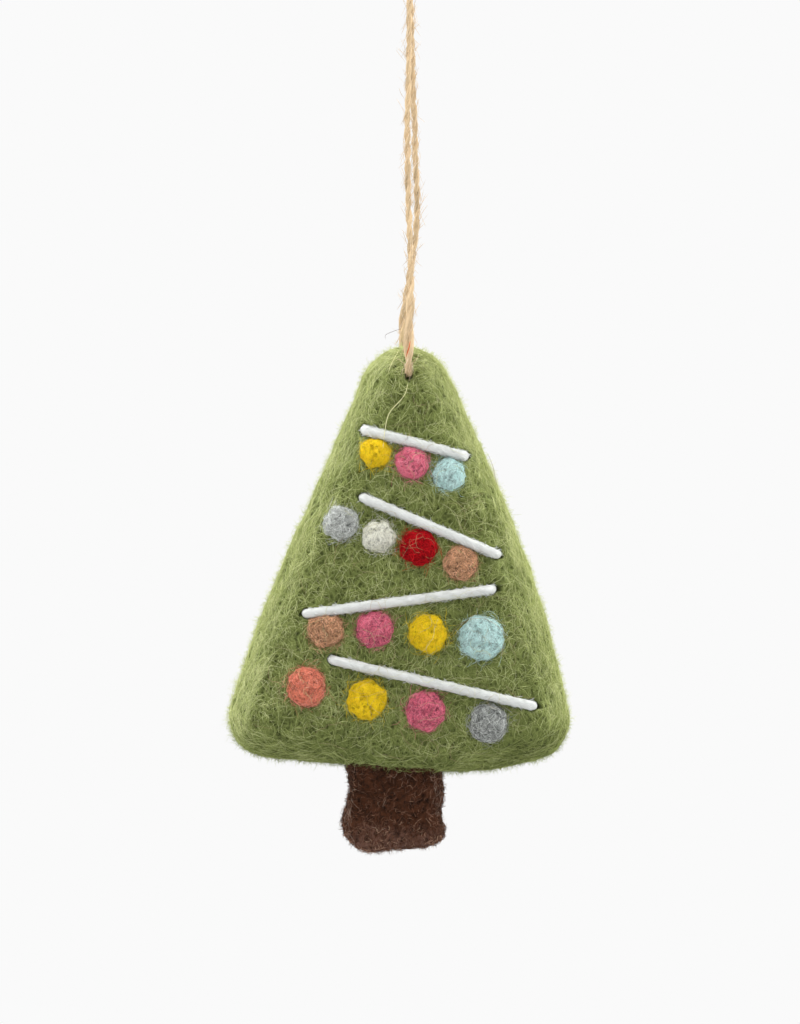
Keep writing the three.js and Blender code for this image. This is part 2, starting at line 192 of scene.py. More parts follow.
class BaubleSettings(bpy.types.PropertyGroup):
    """Sizes of the baubles' felt."""

    voxel: length("Mesh size", "Size of the faces of a bauble", 0.2 * MM)
    fibres: count("Fibres", "Number of fibres that lie on a bauble of 8 mm", 460)


class YarnSettings(bpy.types.PropertyGroup):
    """Sizes of the white yarn."""

    diameter: length("Diameter", "Thickness of the yarn", 2 * MM)
    pitch: length("Pitch", "Length in which the plies make one turn", 9 * MM)
    fuzz: count("Fuzz", "Number of fine fibres on each length of yarn", 700)


class StageSettings(bpy.types.PropertyGroup):
    """The camera and the room."""

    lens: FloatProperty(name="Lens", description="Focal length in millimetres", default=150, min=1)
    picture_height: length(
        "Picture height", "Height of what the camera sees at the twine", 204.8 * MM
    )
    background: colour("Background", "Colour behind the ornament", (0.956, 0.956, 0.956))


class FeltedTreeSettings(bpy.types.PropertyGroup):
    """Everything that a user may change."""

    finish: PointerProperty(type=FinishColours)
    twine: PointerProperty(type=TwineSettings)
    wool: PointerProperty(type=WoolSettings)
    trunk: PointerProperty(type=TrunkSettings)
    bauble: PointerProperty(type=BaubleSettings)
    yarn: PointerProperty(type=YarnSettings)
    stage: PointerProperty(type=StageSettings)


# Shader maths


class Wire:
    """A node's output. Arithmetic on it adds the Math node that it stands for."""

    def __init__(self, recipe, socket):
        self.recipe = recipe
        self.socket = socket

    def maths(self, operation, *values):
        return self.recipe.add("ShaderNodeMath", {"operation": operation}, values)

    def __add__(self, other):
        return self.maths("ADD", self, other)

    def __sub__(self, other):
        return self.maths("SUBTRACT", self, other)

    def __rsub__(self, other):
        return self.maths("SUBTRACT", other, self)

    def __mul__(self, other):
        return self.maths("MULTIPLY", self, other)


class Recipe:
    """A node tree in the making."""

    def __init__(self, owner):
        owner.use_nodes = True
        self.owner = owner
        self.tree = owner.node_tree
        self.tree.nodes.clear()

    def add(self, kind, settings=None, values=(), output=0):
        node = self.tree.nodes.new(kind)
        for name, value in (settings or {}).items():
            if name == "stops":
                set_stops(node.color_ramp, value)
            else:
                setattr(node, name, value)
        pairs = values.items() if isinstance(values, dict) else enumerate(values)
        for key, value in pairs:
            if isinstance(value, Wire):
                self.tree.links.new(value.socket, node.inputs[key])
            else:
                node.inputs[key].default_value = value
        return Wire(self, node.outputs[output]) if len(node.outputs) else None

    def mix(self, share, first, second):
        values = {0: share, 6: first, 7: second}
        return self.add("ShaderNodeMix", {"data_type": "RGBA"}, values, output=2)

    def noise(self, where, size, detail=2.0, **more):
        values = {"Vector": where, "Scale": 1 / size, "Detail": detail, **more}
        return self.add("ShaderNodeTexNoise", None, values)

    def ramp(self, value, stops):
        return self.add("ShaderNodeValToRGB", {"stops": stops}, [value])

    def attribute(self, name, output="Fac"):
        return self.add("ShaderNodeAttribute", {"attribute_name": name}, output=output)


def set_stops(ramp, stops):
    while len(ramp.elements) < len(stops):
        ramp.elements.new(1)
    for element, (place, shade) in zip(ramp.elements, stops):
        element.position = place
        element.color = (*shade, 1)


def tinted(shade, strength, share=0.0):
    """A colour made darker or stronger, within what its hue allows, and then drawn to white."""
    strength = min(strength, 1 / max(shade))
    return tuple((1 - share) * strength * part + share for part in shade)


def opaque(shade):
    return (*shade, 1)


def woolly_shader(recipe, base, roughness, normal=None, sheen=0.03):
    values = {
        "Base Color": base,
        "Roughness": roughness,
        "Specular IOR Level": 0.04,
        "Sheen Weight": sheen,
        "Sheen Roughness": 0.6,
    }
    if normal is not None:
        values["Normal"] = normal
    shader = recipe.add("ShaderNodeBsdfPrincipled", None, values)
    recipe.add("ShaderNodeOutputMaterial", None, {"Surface": shader})
    return recipe.owner


def fine_web(recipe, where, size):
    """Thin lines that cross: each follows the middle level of a stretched noise."""
    web = None
    for lean in (-1.2, -0.5, 0.1, 0.6, 1.3):
        values = {
            "Vector": where,
            "Location": (lean, 2 * lean, 0),
            "Rotation": (0, lean, 0),
            "Scale": (1, 1, 0.35),
        }
        level = recipe.noise(recipe.add("ShaderNodeMapping", None, values), size, 1.0)
        line = 1 - level.maths("ABSOLUTE", level - 0.5) * 8
        web = line if web is None else web.maths("MAXIMUM", web, line)
    return web.maths("MAXIMUM", web, 0.0)


def felt_material(name, shade, tangle, low=0.3):
    """Matted wool: fine light strands over dark gaps, darkest in the needle pits; the dark gaps and
    the pits are painted shade.

    An attribute named rim makes it lighter. On the green body it holds a painted highlight where
    the wool turns over an edge, on the trunk a lighter tone low down, and on a bauble that bauble's
    own tone.
    """
    recipe = Recipe(bpy.data.materials.new(name))
    where = recipe.add("ShaderNodeTexCoord", output="Object")
    broad = recipe.noise(where, 6 * tangle)
    fine = recipe.noise(where, 0.35 * tangle, 3.0, Distortion=0.8)
    web = fine_web(recipe, where, tangle)
    # The rim attribute adds the painted edge highlight on the green body
    tone = web * 0.42 + fine * 0.4 + broad * 0.3 + recipe.attribute("rim") * 0.2
    # The dark end of the ramp is painted shade in the gaps between strands
    stops = [
        (0.3, tinted(shade, low)),
        (0.55, tinted(shade, 0.7)),
        (0.78, tinted(shade, 1.15)),
        (1, tinted(shade, 1.7, 0.04)),
    ]
    matted = recipe.ramp(tone, stops)
    # Needle pits and stitch holes are painted nearly black: painted shade
    pit = recipe.attribute("pit")
    base = recipe.mix(pit * 0.9, matted, opaque(tinted(shade, 0.12)))
    values = {"Strength": 0.9, "Distance": 0.3 * tangle, "Height": tone}
    normal = recipe.add("ShaderNodeBump", None, values)
    return woolly_shader(recipe, base, 0.9, normal)


def fibre_material(name, stops):
    """Loose fibres: each carries its own shade, from 0, deep in the wool, to 1, on top; the
    darkness given to depth is painted shade.
    """
    recipe = Recipe(bpy.data.materials.new(name))
    return woolly_shader(recipe, recipe.ramp(recipe.attribute("shade"), stops), 0.85)


def wool_stops(shade, low, paleness):
    """From deep fibres, darkened to the share low as painted shade, to the palest, drawn to white
    by paleness.
    """
    return [
        (0, tinted(shade, low)),
        (0.45, tinted(shade, 1.9)),
        (0.75, tinted(shade, 2.45, paleness / 3)),
        (1, tinted(shade, 3, paleness)),
    ]


def plied_material(name, stops, streak, depth, sheen):
    """Spun fibres: streaks run along each ply, on the yarn's own straightened coordinates."""
    recipe = Recipe(bpy.data.materials.new(name))
    grain = recipe.attribute("grain", "Vector")
    squeezed = recipe.add("ShaderNodeMapping", None, {"Vector": grain, "Scale": (1, 1, 0.16)})
    streaks = recipe.noise(squeezed, streak, 4.0, Roughness=0.65)
    patches = recipe.noise(squeezed, 4.5 * streak)
    tone = streaks * 0.55 + patches * 0.45 + (recipe.attribute("shade") - 0.5) * 0.9
    values = {"Strength": 0.7, "Distance": depth, "Height": streaks}
    normal = recipe.add("ShaderNodeBump", None, values)
    return woolly_shader(recipe, recipe.ramp(tone, stops), 0.8, normal, sheen)


# Mesh tools


def alone(piece):
    """Selects one object and makes it the active one."""
    bpy.ops.object.select_all(action="DESELECT")
    piece.select_set(True)
    bpy.context.view_layer.objects.active = piece


def finished(piece, kind, **settings):
    """Adds a modifier, applies it and gives the piece back."""
    alone(piece)
    bpy.ops.object.modifier_add(type=kind)
    modifier = piece.modifiers[-1]
    for name, value in settings.items():
        setattr(modifier, name, value)
    bpy.ops.object.modifier_apply(modifier=modifier.name)
    return piece


def placed(name, mesh):
    piece = bpy.data.objects.new(name, mesh)
    bpy.context.scene.collection.objects.link(piece)
    return piece


def felted(node, name, voxel, smoothing):
    """A node's solid as one even skin of small faces, with its edges softened."""
    mesh = NODES[node].data.copy()
    mesh.name = name
    mesh.materials.clear()
    piece = placed(name, mesh)
    alone(piece)
    bpy.ops.object.mode_set(mode="EDIT")
    bpy.ops.mesh.select_all(action="SELECT")
    bpy.ops.mesh.remove_doubles(threshold=1e-6)
    bpy.ops.object.mode_set(mode="OBJECT")
    finished(piece, "REMESH", mode="VOXEL", voxel_size=voxel)
    return finished(piece, "SMOOTH", factor=0.5, iterations=smoothing)


def lumps(piece, size, height):
    """Soft rises and hollows over the outside of a skin."""
    texture = bpy.data.textures.new(f"{piece.name}_lumps", "CLOUDS")
    texture.noise_scale = size
    texture.noise_depth = 1
    finished(
        piece,
        "DISPLACE",
        texture=texture,
        texture_coords="LOCAL",
        strength=height,
        mid_level=0.5,
        vertex_group="outside",
    )
    bpy.data.textures.remove(texture)


def dressed(piece, body, material, replaces=()):
    """Gives a piece its material and the body it rides on, and hides the nodes that it stands for.
    """
    piece.data.materials.append(material)
    alone(piece)
    bpy.ops.object.shade_smooth()
    if body:
        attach(piece, body)
    if replaces:
        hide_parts(*replaces)
    return piece


def corners_of(mesh):
    corners = np.empty(len(mesh.vertices) * 3)
    mesh.vertices.foreach_get("co", corners)
    return corners.reshape(-1, 3)


def normals_of(mesh):
    normals = np.empty(len(mesh.vertices) * 3)
    mesh.vertices.foreach_get("normal", normals)
    return normals.reshape(-1, 3)


def move_corners(mesh, corners):
    mesh.vertices.foreach_set("co", corners.astype(np.float32).ravel())
    mesh.update()


def add_values(mesh, name, values):
    layer = mesh.attributes.new(name, "FLOAT", "POINT")
    layer.data.foreach_set("value", np.asarray(values, np.float32).ravel())


def values_of(mesh, name):
    values = np.empty(len(mesh.vertices), np.float32)
    mesh.attributes[name].data.foreach_get("value", values)
    return values


def unit(vectors):
    sizes = np.linalg.norm(vectors, axis=-1, keepdims=True)
    return vectors / np.maximum(sizes, 1e-12)


def dots(first, second):
    return (first * second).sum(axis=-1, keepdims=True)


def eased(values, low, high):
    """0 up to low, 1 from high on, and a smooth rise between."""
    share = np.clip((values - low) / (high - low), 0, 1)
    return share * share * (3 - 2 * share)


class Surface:
    """Pieces to lay fibres on: triangles to scatter over and a search tree to snap to."""

    def __init__(self, *pieces, only=None):
        corners = []
        triangles = []
        for piece in pieces:
            mesh = piece.data
            mesh.calc_loop_triangles()
            indices = np.empty(len(mesh.loop_triangles) * 3, np.int32)
            mesh.loop_triangles.foreach_get("vertices", indices)
            indices = indices.reshape(-1, 3)
            if only:
                indices = indices[values_of(mesh, only)[indices].min(axis=1) > 0.5]
            triangles.append(indices + sum(len(part) for part in corners))
            corners.append(corners_of(mesh))
        corners = np.concatenate(corners)
        triangles = np.concatenate(triangles)
        self.tree = BVHTree.FromPolygons(corners.tolist(), triangles.tolist())
        self.triangles = corners[triangles]
        edges = self.triangles[:, 1:] - self.triangles[:, :1]
        across = np.cross(edges[:, 0], edges[:, 1])
        self.areas = np.linalg.norm(across, axis=1) / 2
        self.normals = unit(across)

    def scatter(self, number, rng, wanted):
        """Random places, as thick on each triangle as wanted(middles, normals) says."""
        weights = self.areas * wanted(self.triangles.mean(axis=1), self.normals)
        chosen = rng.choice(len(weights), number, p=weights / weights.sum())
        first, second = rng.random((2, number))
        folded = first + second > 1
        first[folded] = 1 - first[folded]
        second[folded] = 1 - second[folded]
        shares = np.stack([1 - first - second, first, second], axis=1)
        return (self.triangles[chosen] * shares[:, :, None]).sum(axis=1), self.normals[chosen]

    def nearest(self, places):
        """The nearest places on the surface and its outward normals there."""
        found = [self.tree.find_nearest(place) for place in places.tolist()]
        return np.array([hit[0] for hit in found]), np.array([hit[1] for hit in found])

    def foremost(self, places):
        """The places and normals of the surface as seen straight on. What misses it stays."""
        landed = []
        normals = []
        for x, y, z in places.tolist():
            start = Vector((x, FRONT * 100 * MM, z))
            hit, normal = self.tree.ray_cast(start, Vector((0, -FRONT, 0)))[:2]
            landed.append(hit or (x, y, z))
            normals.append(normal or (0, FRONT, 0))
        return np.array(landed), np.array(normals)


def turned(headings, normals, angles):
    """Headings turned about their normals."""
    angles = angles[:, None]
    return headings * np.cos(angles) + np.cross(normals, headings) * np.sin(angles)


def any_way(normals, rng):
    """Random headings square to the normals."""
    aside = unit(np.cross(normals, unit(rng.normal(size=normals.shape))))
    return turned(aside, normals, rng.uniform(0, 2 * np.pi, len(normals)))


def creep(settle, starts, headings, lengths, curls, wander, stations, rng):
    """Fibres that stay on a surface while they curl: their places and the normals there.

    settle moves places on to the surface, and curls are in radians a metre.
    """
    places = np.empty((stations, *starts.shape))
    normals = np.empty_like(places)
    steps = lengths / (stations - 1)
    here = starts
    heading = headings
    for station in range(stations):
        here, normal = settle(here)
        places[station], normals[station] = here, normal
        heading = unit(heading - dots(heading, normal) * normal)
        heading = turned(heading, normal, curls * steps + rng.normal(0, wander, len(starts)))
        here = here + heading * steps[:, None]
    return places.swapaxes(0, 1), normals.swapaxes(0, 1)


def stray(starts, headings, lengths, curls, wander, rng, stations=STATIONS):
    """Fibres that leave their surface and curl through the air."""
    places = np.empty((stations, *starts.shape))
    steps = (lengths / (stations - 1))[:, None]
    axes = unit(rng.normal(size=starts.shape))
    here = starts
    heading = headings
    for station in range(stations):
        places[station] = here
        here = here + heading * steps
        bend = np.cross(axes, heading) * (curls[:, None] * steps)
        heading = unit(heading + bend + rng.normal(0, wander, starts.shape))
    return places.swapaxes(0, 1)


def lifted(places, normals, low, high, rng):
    """Fibres that dip into the wool at both ends and rise above it in between."""
    number, stations, _ = places.shape
    arch = np.sin(np.pi * np.linspace(0, 1, stations))
    peak = rng.uniform(low, high, (number, 1))
    ripple = rng.normal(0, 0.04 * MM, (number, stations)) * arch
    rise = peak * arch + ripple - 0.06 * MM
    return places + normals * rise[:, :, None]


def tapered(radii, stations=STATIONS, blunt=0.55):
    """Radii that swell from nothing at each end to the full radius in the middle."""
    return radii[:, None] * np.sin(np.pi * np.linspace(0, 1, stations)).clip(0) ** blunt


def laid(settle, starts, headings, lengths, curls, look, rng, stations=STATIONS, blunt=0.55):
    """Fibres that curl over a surface: their paths, their radii and the normals under them.

    look holds their wander and, in millimetres, the least and the most of their rise over the
    surface and of their half thickness.
    """
    wander, rises, halves = look
    places, ways = creep(settle, starts, headings, lengths, curls, wander, stations, rng)
    paths = lifted(places, ways, rises[0] * MM, rises[1] * MM, rng)
    radii = rng.uniform(halves[0] * MM, halves[1] * MM, len(starts))
    return paths, tapered(radii, stations, blunt), ways


def tangled(settle, starts, normals, lengths, curl, look, rng, stations=STATIONS, blunt=0.55):
    """Fibres laid in every direction, their least and greatest length in millimetres."""
    headings = any_way(normals, rng)
    long = rng.uniform(lengths[0] * MM, lengths[1] * MM, len(starts))
    curls = rng.normal(0, curl, len(starts))
    return laid(settle, starts, headings, long, curls, look, rng, stations, blunt)


def even(shades, stations=STATIONS):
    """One shade along the whole of each fibre."""
    return np.repeat(shades[:, None], stations, axis=1)


def merged(*batches):
    """Batches of fibres with the same number of stations, as one."""
    return tuple(np.concatenate(part) for part in zip(*batches))


def cross_axes(paths):
    """Two unit vectors across each path at each station, carried along without twisting."""
    tangents = unit(np.gradient(paths, axis=1))
    least = np.abs(tangents[:, 0]).argmin(axis=1)
    current = unit(np.cross(tangents[:, 0], np.eye(3)[least]))
    across = np.empty_like(paths)
    for station in range(paths.shape[1]):
        tangent = tangents[:, station]
        current = unit(current - dots(current, tangent) * tangent)
        across[:, station] = current
    return across, np.cross(tangents, across)


def tube_faces(stations, sides):
    """The faces of one tube as vertex numbers, with their places in a unit map."""
    faces = []
    places = []
    last = (stations - 2) * sides + 1
    span = 1 / (stations - 1)
    for side in range(sides):
        after = (side + 1) % sides
        low, high, middle = side / sides, (side + 1) / sides, (side + 0.5) / sides
        faces.append((0, 1 + after, 1 + side))
        places.append(((0, middle), (span, high), (span, low)))
        for ring in range(stations - 3):
            here = 1 + ring * sides
            there = here + sides
            near, far = (ring + 1) * span, (ring + 2) * span
            faces.append((here + side, here + after, there + after, there + side))
            places.append(((near, low), (near, high), (far, high), (far, low)))
        end = last - sides
        faces.append((last, end + side, end + after))
        places.append(((1, middle), (1 - span, low), (1 - span, high)))
    return faces, places


def tubes(name, paths, radii, shades, sides=3):
    """One mesh of closed tubes, each with a point at both ends and rings between.

    paths holds each tube's stations, and radii and shades a number for each of these.
    """
    number, stations, _ = paths.shape
    across, up = cross_axes(paths)
    turns = 2 * np.pi * np.arange(sides) / sides
    across = across[:, 1:-1, None]
    up = up[:, 1:-1, None]
    spokes = np.cos(turns)[:, None] * across + np.sin(turns)[:, None] * up
    rings = paths[:, 1:-1, None] + radii[:, 1:-1, None, None] * spokes
    points = np.concatenate([paths[:, :1], rings.reshape(number, -1, 3), paths[:, -1:]], axis=1)
    ring_shades = np.repeat(shades[:, 1:-1], sides, axis=1)
    point_shades = np.concatenate([shades[:, :1], ring_shades, shades[:, -1:]], axis=1)
    faces, places = tube_faces(stations, sides)
    sizes = np.array([len(face) for face in faces])
    flat = np.concatenate([np.array(face) for face in faces])
    per_tube = points.shape[1]
    loops = (flat[None] + per_tube * np.arange(number)[:, None]).ravel()
    starts = np.concatenate([[0], np.cumsum(np.tile(sizes, number))[:-1]])
    mesh = bpy.data.meshes.new(name)
    mesh.vertices.add(number * per_tube)
    mesh.vertices.foreach_set("co", points.astype(np.float32).ravel())
    mesh.loops.add(len(loops))
    mesh.loops.foreach_set("vertex_index", loops.astype(np.int32))
    mesh.polygons.add(len(starts))
    mesh.polygons.foreach_set("loop_start", starts.astype(np.int32))
    mesh.update(calc_edges=True)
    grid = math.ceil(math.sqrt(number))
    cells = np.stack([np.arange(number) % grid, np.arange(number) // grid], axis=1)
    spots = np.concatenate([np.array(place) for place in places])
    spots = (cells[:, None] + 0.04 + 0.92 * spots[None]) / grid
    baked = mesh.uv_layers.new(name="OFBake")
    baked.data.foreach_set("uv", spots.astype(np.float32).ravel())
    add_values(mesh, "shade", point_shades)
    if sides > 3:
        add_grain(mesh, paths, radii, turns)
    return placed(name, mesh)


def add_grain(mesh, paths, radii, turns):
    """Straightened coordinates: round each ply and along it, in metres."""
    number, stations, _ = paths.shape
    steps = np.linalg.norm(np.diff(paths, axis=1), axis=2)
    along = np.concatenate([np.zeros((number, 1)), np.cumsum(steps, axis=1)], axis=1)
    aside = 20 * MM * np.arange(number)[:, None, None]  # so that no two plies look alike
    grain = np.empty((number, stations, len(turns), 3))
    grain[..., 0] = radii.max() * np.cos(turns) + aside
    grain[..., 1] = radii.max() * np.sin(turns)
    grain[..., 2] = along[:, :, None]
    inner = grain[:, 1:-1].reshape(number, -1, 3)
    values = np.concatenate([grain[:, :1, 0], inner, grain[:, -1:, 0]], axis=1)
    layer = mesh.attributes.new("grain", "FLOAT_VECTOR", "POINT")
    layer.data.foreach_set("vector", values.astype(np.float32).ravel())


def smooth_path(points, number):
    """Evenly spaced places on a smooth curve through the points."""
    points = np.array(points, float)
    before_first = 2 * points[:1] - points[1:2]
    after_last = 2 * points[-1:] - points[-2:-1]
    padded = np.concatenate([before_first, points, after_last])
    shares = np.linspace(0, 1, 17)[:-1, None]
    square = shares**2
    cube = shares**3
    runs = []
    for before, start, end, after in zip(padded, padded[1:], padded[2:], padded[3:]):
        runs.append(
            (2 * cube - 3 * square + 1) * start
            + (cube - 2 * square + shares) * (end - before) / 2
            + (3 * square - 2 * cube) * end
            + (cube - square) * (after - start) / 2
        )
    dense = np.concatenate([*runs, points[-1:]])
    steps = np.linalg.norm(np.diff(dense, axis=0), axis=1)
    gone = np.concatenate([[0], np.cumsum(steps)])
    wanted = np.linspace(0, gone[-1], number)
    return np.stack([np.interp(wanted, gone, dense[:, axis]) for axis in range(3)], axis=1)


def route_length(path):
    return float(np.linalg.norm(np.diff(path, axis=0), axis=1).sum())


def plies(path, offsets, pitch, number, phase, slack=0.0):
    """The middles of the plies that wind round a path, one path for each.

    slack says how much slower they wind along it, from 0 to 1.
    """
    across, up = cross_axes(path[None])
    step = route_length(path) / (len(path) - 1)
    along = np.cumsum(step * (1 - np.broadcast_to(slack, len(path))))
    wound = []
    for ply in range(number):
        angle = (2 * np.pi * (along / pitch + ply / number) + phase)[:, None]
        aside = across[0] * np.cos(angle) + up[0] * np.sin(angle)
        wound.append(path + aside * np.broadcast_to(offsets, len(path))[:, None])
    return np.array(wound)


def blunt_ends(radii):
    """Closes each tube: nothing at its ends, and nearly full one station further in."""
    radii = radii.copy()
    radii[:, [0, -1]] = 0
    radii[:, [1, -2]] *= 0.8
    return radii


# Twine


def rope(path, settings, spread=0.0, phase=0.0):
    """Two plies wound round a path. spread says how far they have come loose along it."""
    spread = np.broadcast_to(spread, len(path))
    offsets = settings.diameter * (0.17 + 0.18 * spread)
    wound = plies(path, offsets, settings.pitch, 2, phase, 0.7 * spread)
    wobble = 1 + 0.05 * np.sin(np.linspace(0, 90, len(path)))
    radii = np.tile(settings.diameter * (0.3 + 0.18 * spread) * wobble, (2, 1))
    shades = np.repeat([[0.5], [0.42]], len(path), axis=1)
    return wound, blunt_ends(radii), shades


def rope_hairs(path, settings, number, rng, reach):
    """Jute hairs: most hug the twine and wind with it, and a few stand off it."""
    picked = rng.integers(2, len(path) - 2, number)
    tangents = unit(np.gradient(path, axis=0))[picked]
    aside = unit(np.cross(tangents, rng.normal(size=(number, 3))))
    starts = path[picked] + aside * settings.diameter * rng.uniform(0.3, 0.5, (number, 1))
    free = rng.random((number, 1)) ** 7
    side = np.sign(rng.normal(size=(number, 1)))
    winding = side * (tangents + 0.45 * np.cross(tangents, aside))
    headings = unit(winding + aside * (0.02 + 0.9 * free))
    lengths = rng.uniform(*reach, number)
    curls = rng.uniform(40, 260, number)
    paths = stray(starts, headings, lengths, curls, 0.07, rng)
    radii = tapered(rng.uniform(0.03 * MM, 0.06 * MM, number))
    return paths, radii, even(rng.uniform(0.3, 1, number))


class FELTTREE_OT_twine(bpy.types.Operator):
    """Make the two strands of the loop, the run through the eyelet and the knot"""

    bl_idname = "felttree.twine"
    bl_label = "Twine"

    KNOT_STATIONS = 130

    def execute(self, context):
        settings = context.scene.felted_tree.twine
        shade = tuple(context.scene.felted_tree.finish.jute_twine)
        ply_stops = [
            (0.24, tinted(shade, 0.36)),
            (0.42, tinted(shade, 0.84)),
            (0.58, tinted(shade, 1.08)),
            (0.8, tinted(shade, 1.16, 0.26)),
        ]
        self.jute = plied_material("jute_plies", ply_stops, 0.2 * MM, 0.09 * MM, 0.05)
        hair_stops = [
            (0, tinted(shade, 0.5)),
            (0.5, tinted(shade, 1.0)),
            (1, tinted(shade, 1.1, 0.35)),
        ]
        self.hair = fibre_material("jute_hairs", hair_stops)
        self.rng = np.random.default_rng(11)
        others = [self.eyelet_run(settings), *self.knot(settings), self.odd_fibres()]
        self.strand("front", FRONT_STRAND_ROUTE, settings, 0, others)
        self.strand("back", BACK_STRAND_ROUTE, settings, 2.1, [])
        return {"FINISHED"}

    def odd_fibres(self):
        """A reddish fibre on the loose part of the front strand and a dark kinked one beside it."""
        reddish = (
            (0, -9.2, -69.1),
            (-0.25, -9.4, -70.4),
            (-0.55, -9.4, -71.4),
            (-0.85, -9.2, -72.4),
        )
        dark = (
            (-1.6, -8.4, -66.7),
            (-3, -8.6, -67.1),
            (-4.85, -8.8, -67.95),
            (-4.8, -8.9, -68.8),
        )
        paths = np.array([smooth_path(route, 20) for route in (reddish, dark)]) * MM
        radii = tapered(np.array([0.16 * MM, 0.05 * MM]), 20, 0.5)
        shades = even(np.array([1, 0]), 20)
        odd = fibre_material("odd_jute", [(0, (0.13, 0.09, 0.06)), (1, (0.58, 0.14, 0.05))])
        return dressed(tubes("twine_odd_fibres", paths, radii, shades), STRANDS, odd)

    def strand(self, side, route, settings, phase, others):
        """One side of the loop, which comes loose just above the tree."""
        path = smooth_path(route, 440) * MM
        down = -path[:, 2]
        loose = eased(down, 54 * MM, 68 * MM) * (1 - 0.65 * eased(down, 71 * MM, 75.5 * MM))
        loose = 0.85 * loose + 0.1 * np.sin(down / (2.6 * MM)) ** 2
        name = f"twine_{side}_strand"
        piece = tubes(name + "_plies", *rope(path, settings, loose, phase), sides=10)
        reach = (1.2 * MM, 4.5 * MM)
        hairs = tubes(
            name + "_hairs", *rope_hairs(path, settings, settings.hairs, self.rng, reach)
        )
        dressed(piece, None, self.jute, replaces=[name])
        dressed(hairs, None, self.hair)
        for part in (piece, hairs):
            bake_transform(part)

    def eyelet_run(self, settings):
        low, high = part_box("twine_eyelet_run")
        middle = (low + high) / 2
        lap = 0.4 * MM  # hides the joint with each strand
        ends = [(middle.x, low.y - lap, middle.z), (middle.x, high.y + lap, middle.z)]
        piece = tubes("twine_eyelet_plies", *rope(smooth_path(ends, 60), settings), sides=12)
        return dressed(piece, STRANDS, self.jute, replaces=["twine_eyelet_run"])

    def knot(self, settings):
        """Both strands go up through a wrap of two and a half turns and end in frayed tails."""
        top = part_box("twine_knot")[1].z / MM
        foot = 0.2
        wrap_top = foot + 5.2
        ropes = []
        hairs = []
        for side, start in ((-1, FRONT_STRAND_ROUTE[0]), (1, BACK_STRAND_ROUTE[0])):
            route = [
                (start[0], start[1], -0.1),
                (start[0] * 0.8, start[1] * 0.8, foot + 1.6),
                (side * 0.55, side * 0.2, wrap_top - 0.6),
                (side * 1.2, side * 0.3, (wrap_top + top) / 2),
                (side * 2.4, side * 0.6, top - 0.6),
            ]
            path = smooth_path(route, self.KNOT_STATIONS) * MM
            frayed = eased(path[:, 2], (top - 2.2) * MM, top * MM)
            ropes.append(rope(path, settings, frayed, 0.9 * side))
            reach = (0.8 * MM, 1.8 * MM)
            hairs.append(rope_hairs(path[-20:], settings, 50, self.rng, reach))
        ropes.append(rope(self.wrap(foot, wrap_top), settings, 0, 0.3))
        piece = tubes("twine_knot_plies", *merged(*ropes), sides=8)
        fray = tubes("twine_knot_hairs", *merged(*hairs))
        dressed(piece, KNOT, self.jute, replaces=["twine_knot"])
        return piece, dressed(fray, KNOT, self.hair)

    def wrap(self, foot, top):
        """Two and a half turns round the strands, tilted, with both ends tucked in."""
        share = np.linspace(0, 1, self.KNOT_STATIONS)
        angle = 2 * np.pi * 2.6 * share + 0.4
        tucked = eased(share, 0, 0.14) * (1 - eased(share, 0.86, 1))
        reach = 0.6 + 0.85 * tucked + 0.1 * np.sin(np.pi * share)
        height = foot + 0.75 + (top - foot - 1.5) * share + 0.28 * reach * np.sin(angle)
        return np.stack([reach * np.cos(angle), reach * np.sin(angle), height], axis=1) * MM


# Body


def mark_outside(piece, node, deep, deeper):
    """Marks the outside of a skin, and leaves its cavity, sockets and stitch holes unmarked.

    A place is outside if it lies near the convex skin round the node. The marks are an
    attribute and a vertex group, both named outside.
    """
    shell = bmesh.new()
    shell.from_mesh(NODES[node].data)
    hull = bmesh.ops.convex_hull(shell, input=shell.verts, use_existing_faces=False)
    kept = {item for item in hull["geom"] if isinstance(item, bmesh.types.BMFace)}
    hidden = [face for face in shell.faces if face not in kept]
    bmesh.ops.delete(shell, geom=hidden, context="FACES_ONLY")
    tree = BVHTree.FromBMesh(shell)
    shell.free()
    depths = [tree.find_nearest(place)[3] for place in corners_of(piece.data).tolist()]
    weights = 1 - eased(np.array(depths), deep, deeper)
    add_values(piece.data, "outside", weights)
    group = piece.vertex_groups.new(name="outside")
    levels = np.round(weights * 10).astype(int)
    for level in range(1, 11):
        group.add(np.nonzero(levels == level)[0].tolist(), level / 10, "REPLACE")


def prick(piece, number, widths, depths, seed):
    """Small dents, like those of a felting needle, marked in an attribute named pit, by which the
    felt paints shade into them.
    """
    rng = np.random.default_rng(seed)
    corners = corners_of(piece.data)
    places, normals = Surface(piece, only="outside").scatter(
        number, rng, lambda middles, normals: 0.12 + 0.88 * eased(np.abs(normals[:, 1]), 0.8, 0.97)
    )
    tree = KDTree(len(corners))
    for index, corner in enumerate(corners.tolist()):
        tree.insert(corner, index)
    tree.balance()
    marks = np.zeros(len(corners))
    for place, normal in zip(places, normals):
        width = rng.uniform(*widths)
        depth = rng.uniform(*depths)
        for _, index, distance in tree.find_range(place, width):
            share = math.cos(math.pi / 2 * distance / width) ** 2
            corners[index] -= normal * depth * share
            marks[index] = max(marks[index], share)
    move_corners(piece.data, corners)
    add_values(piece.data, "pit", marks)


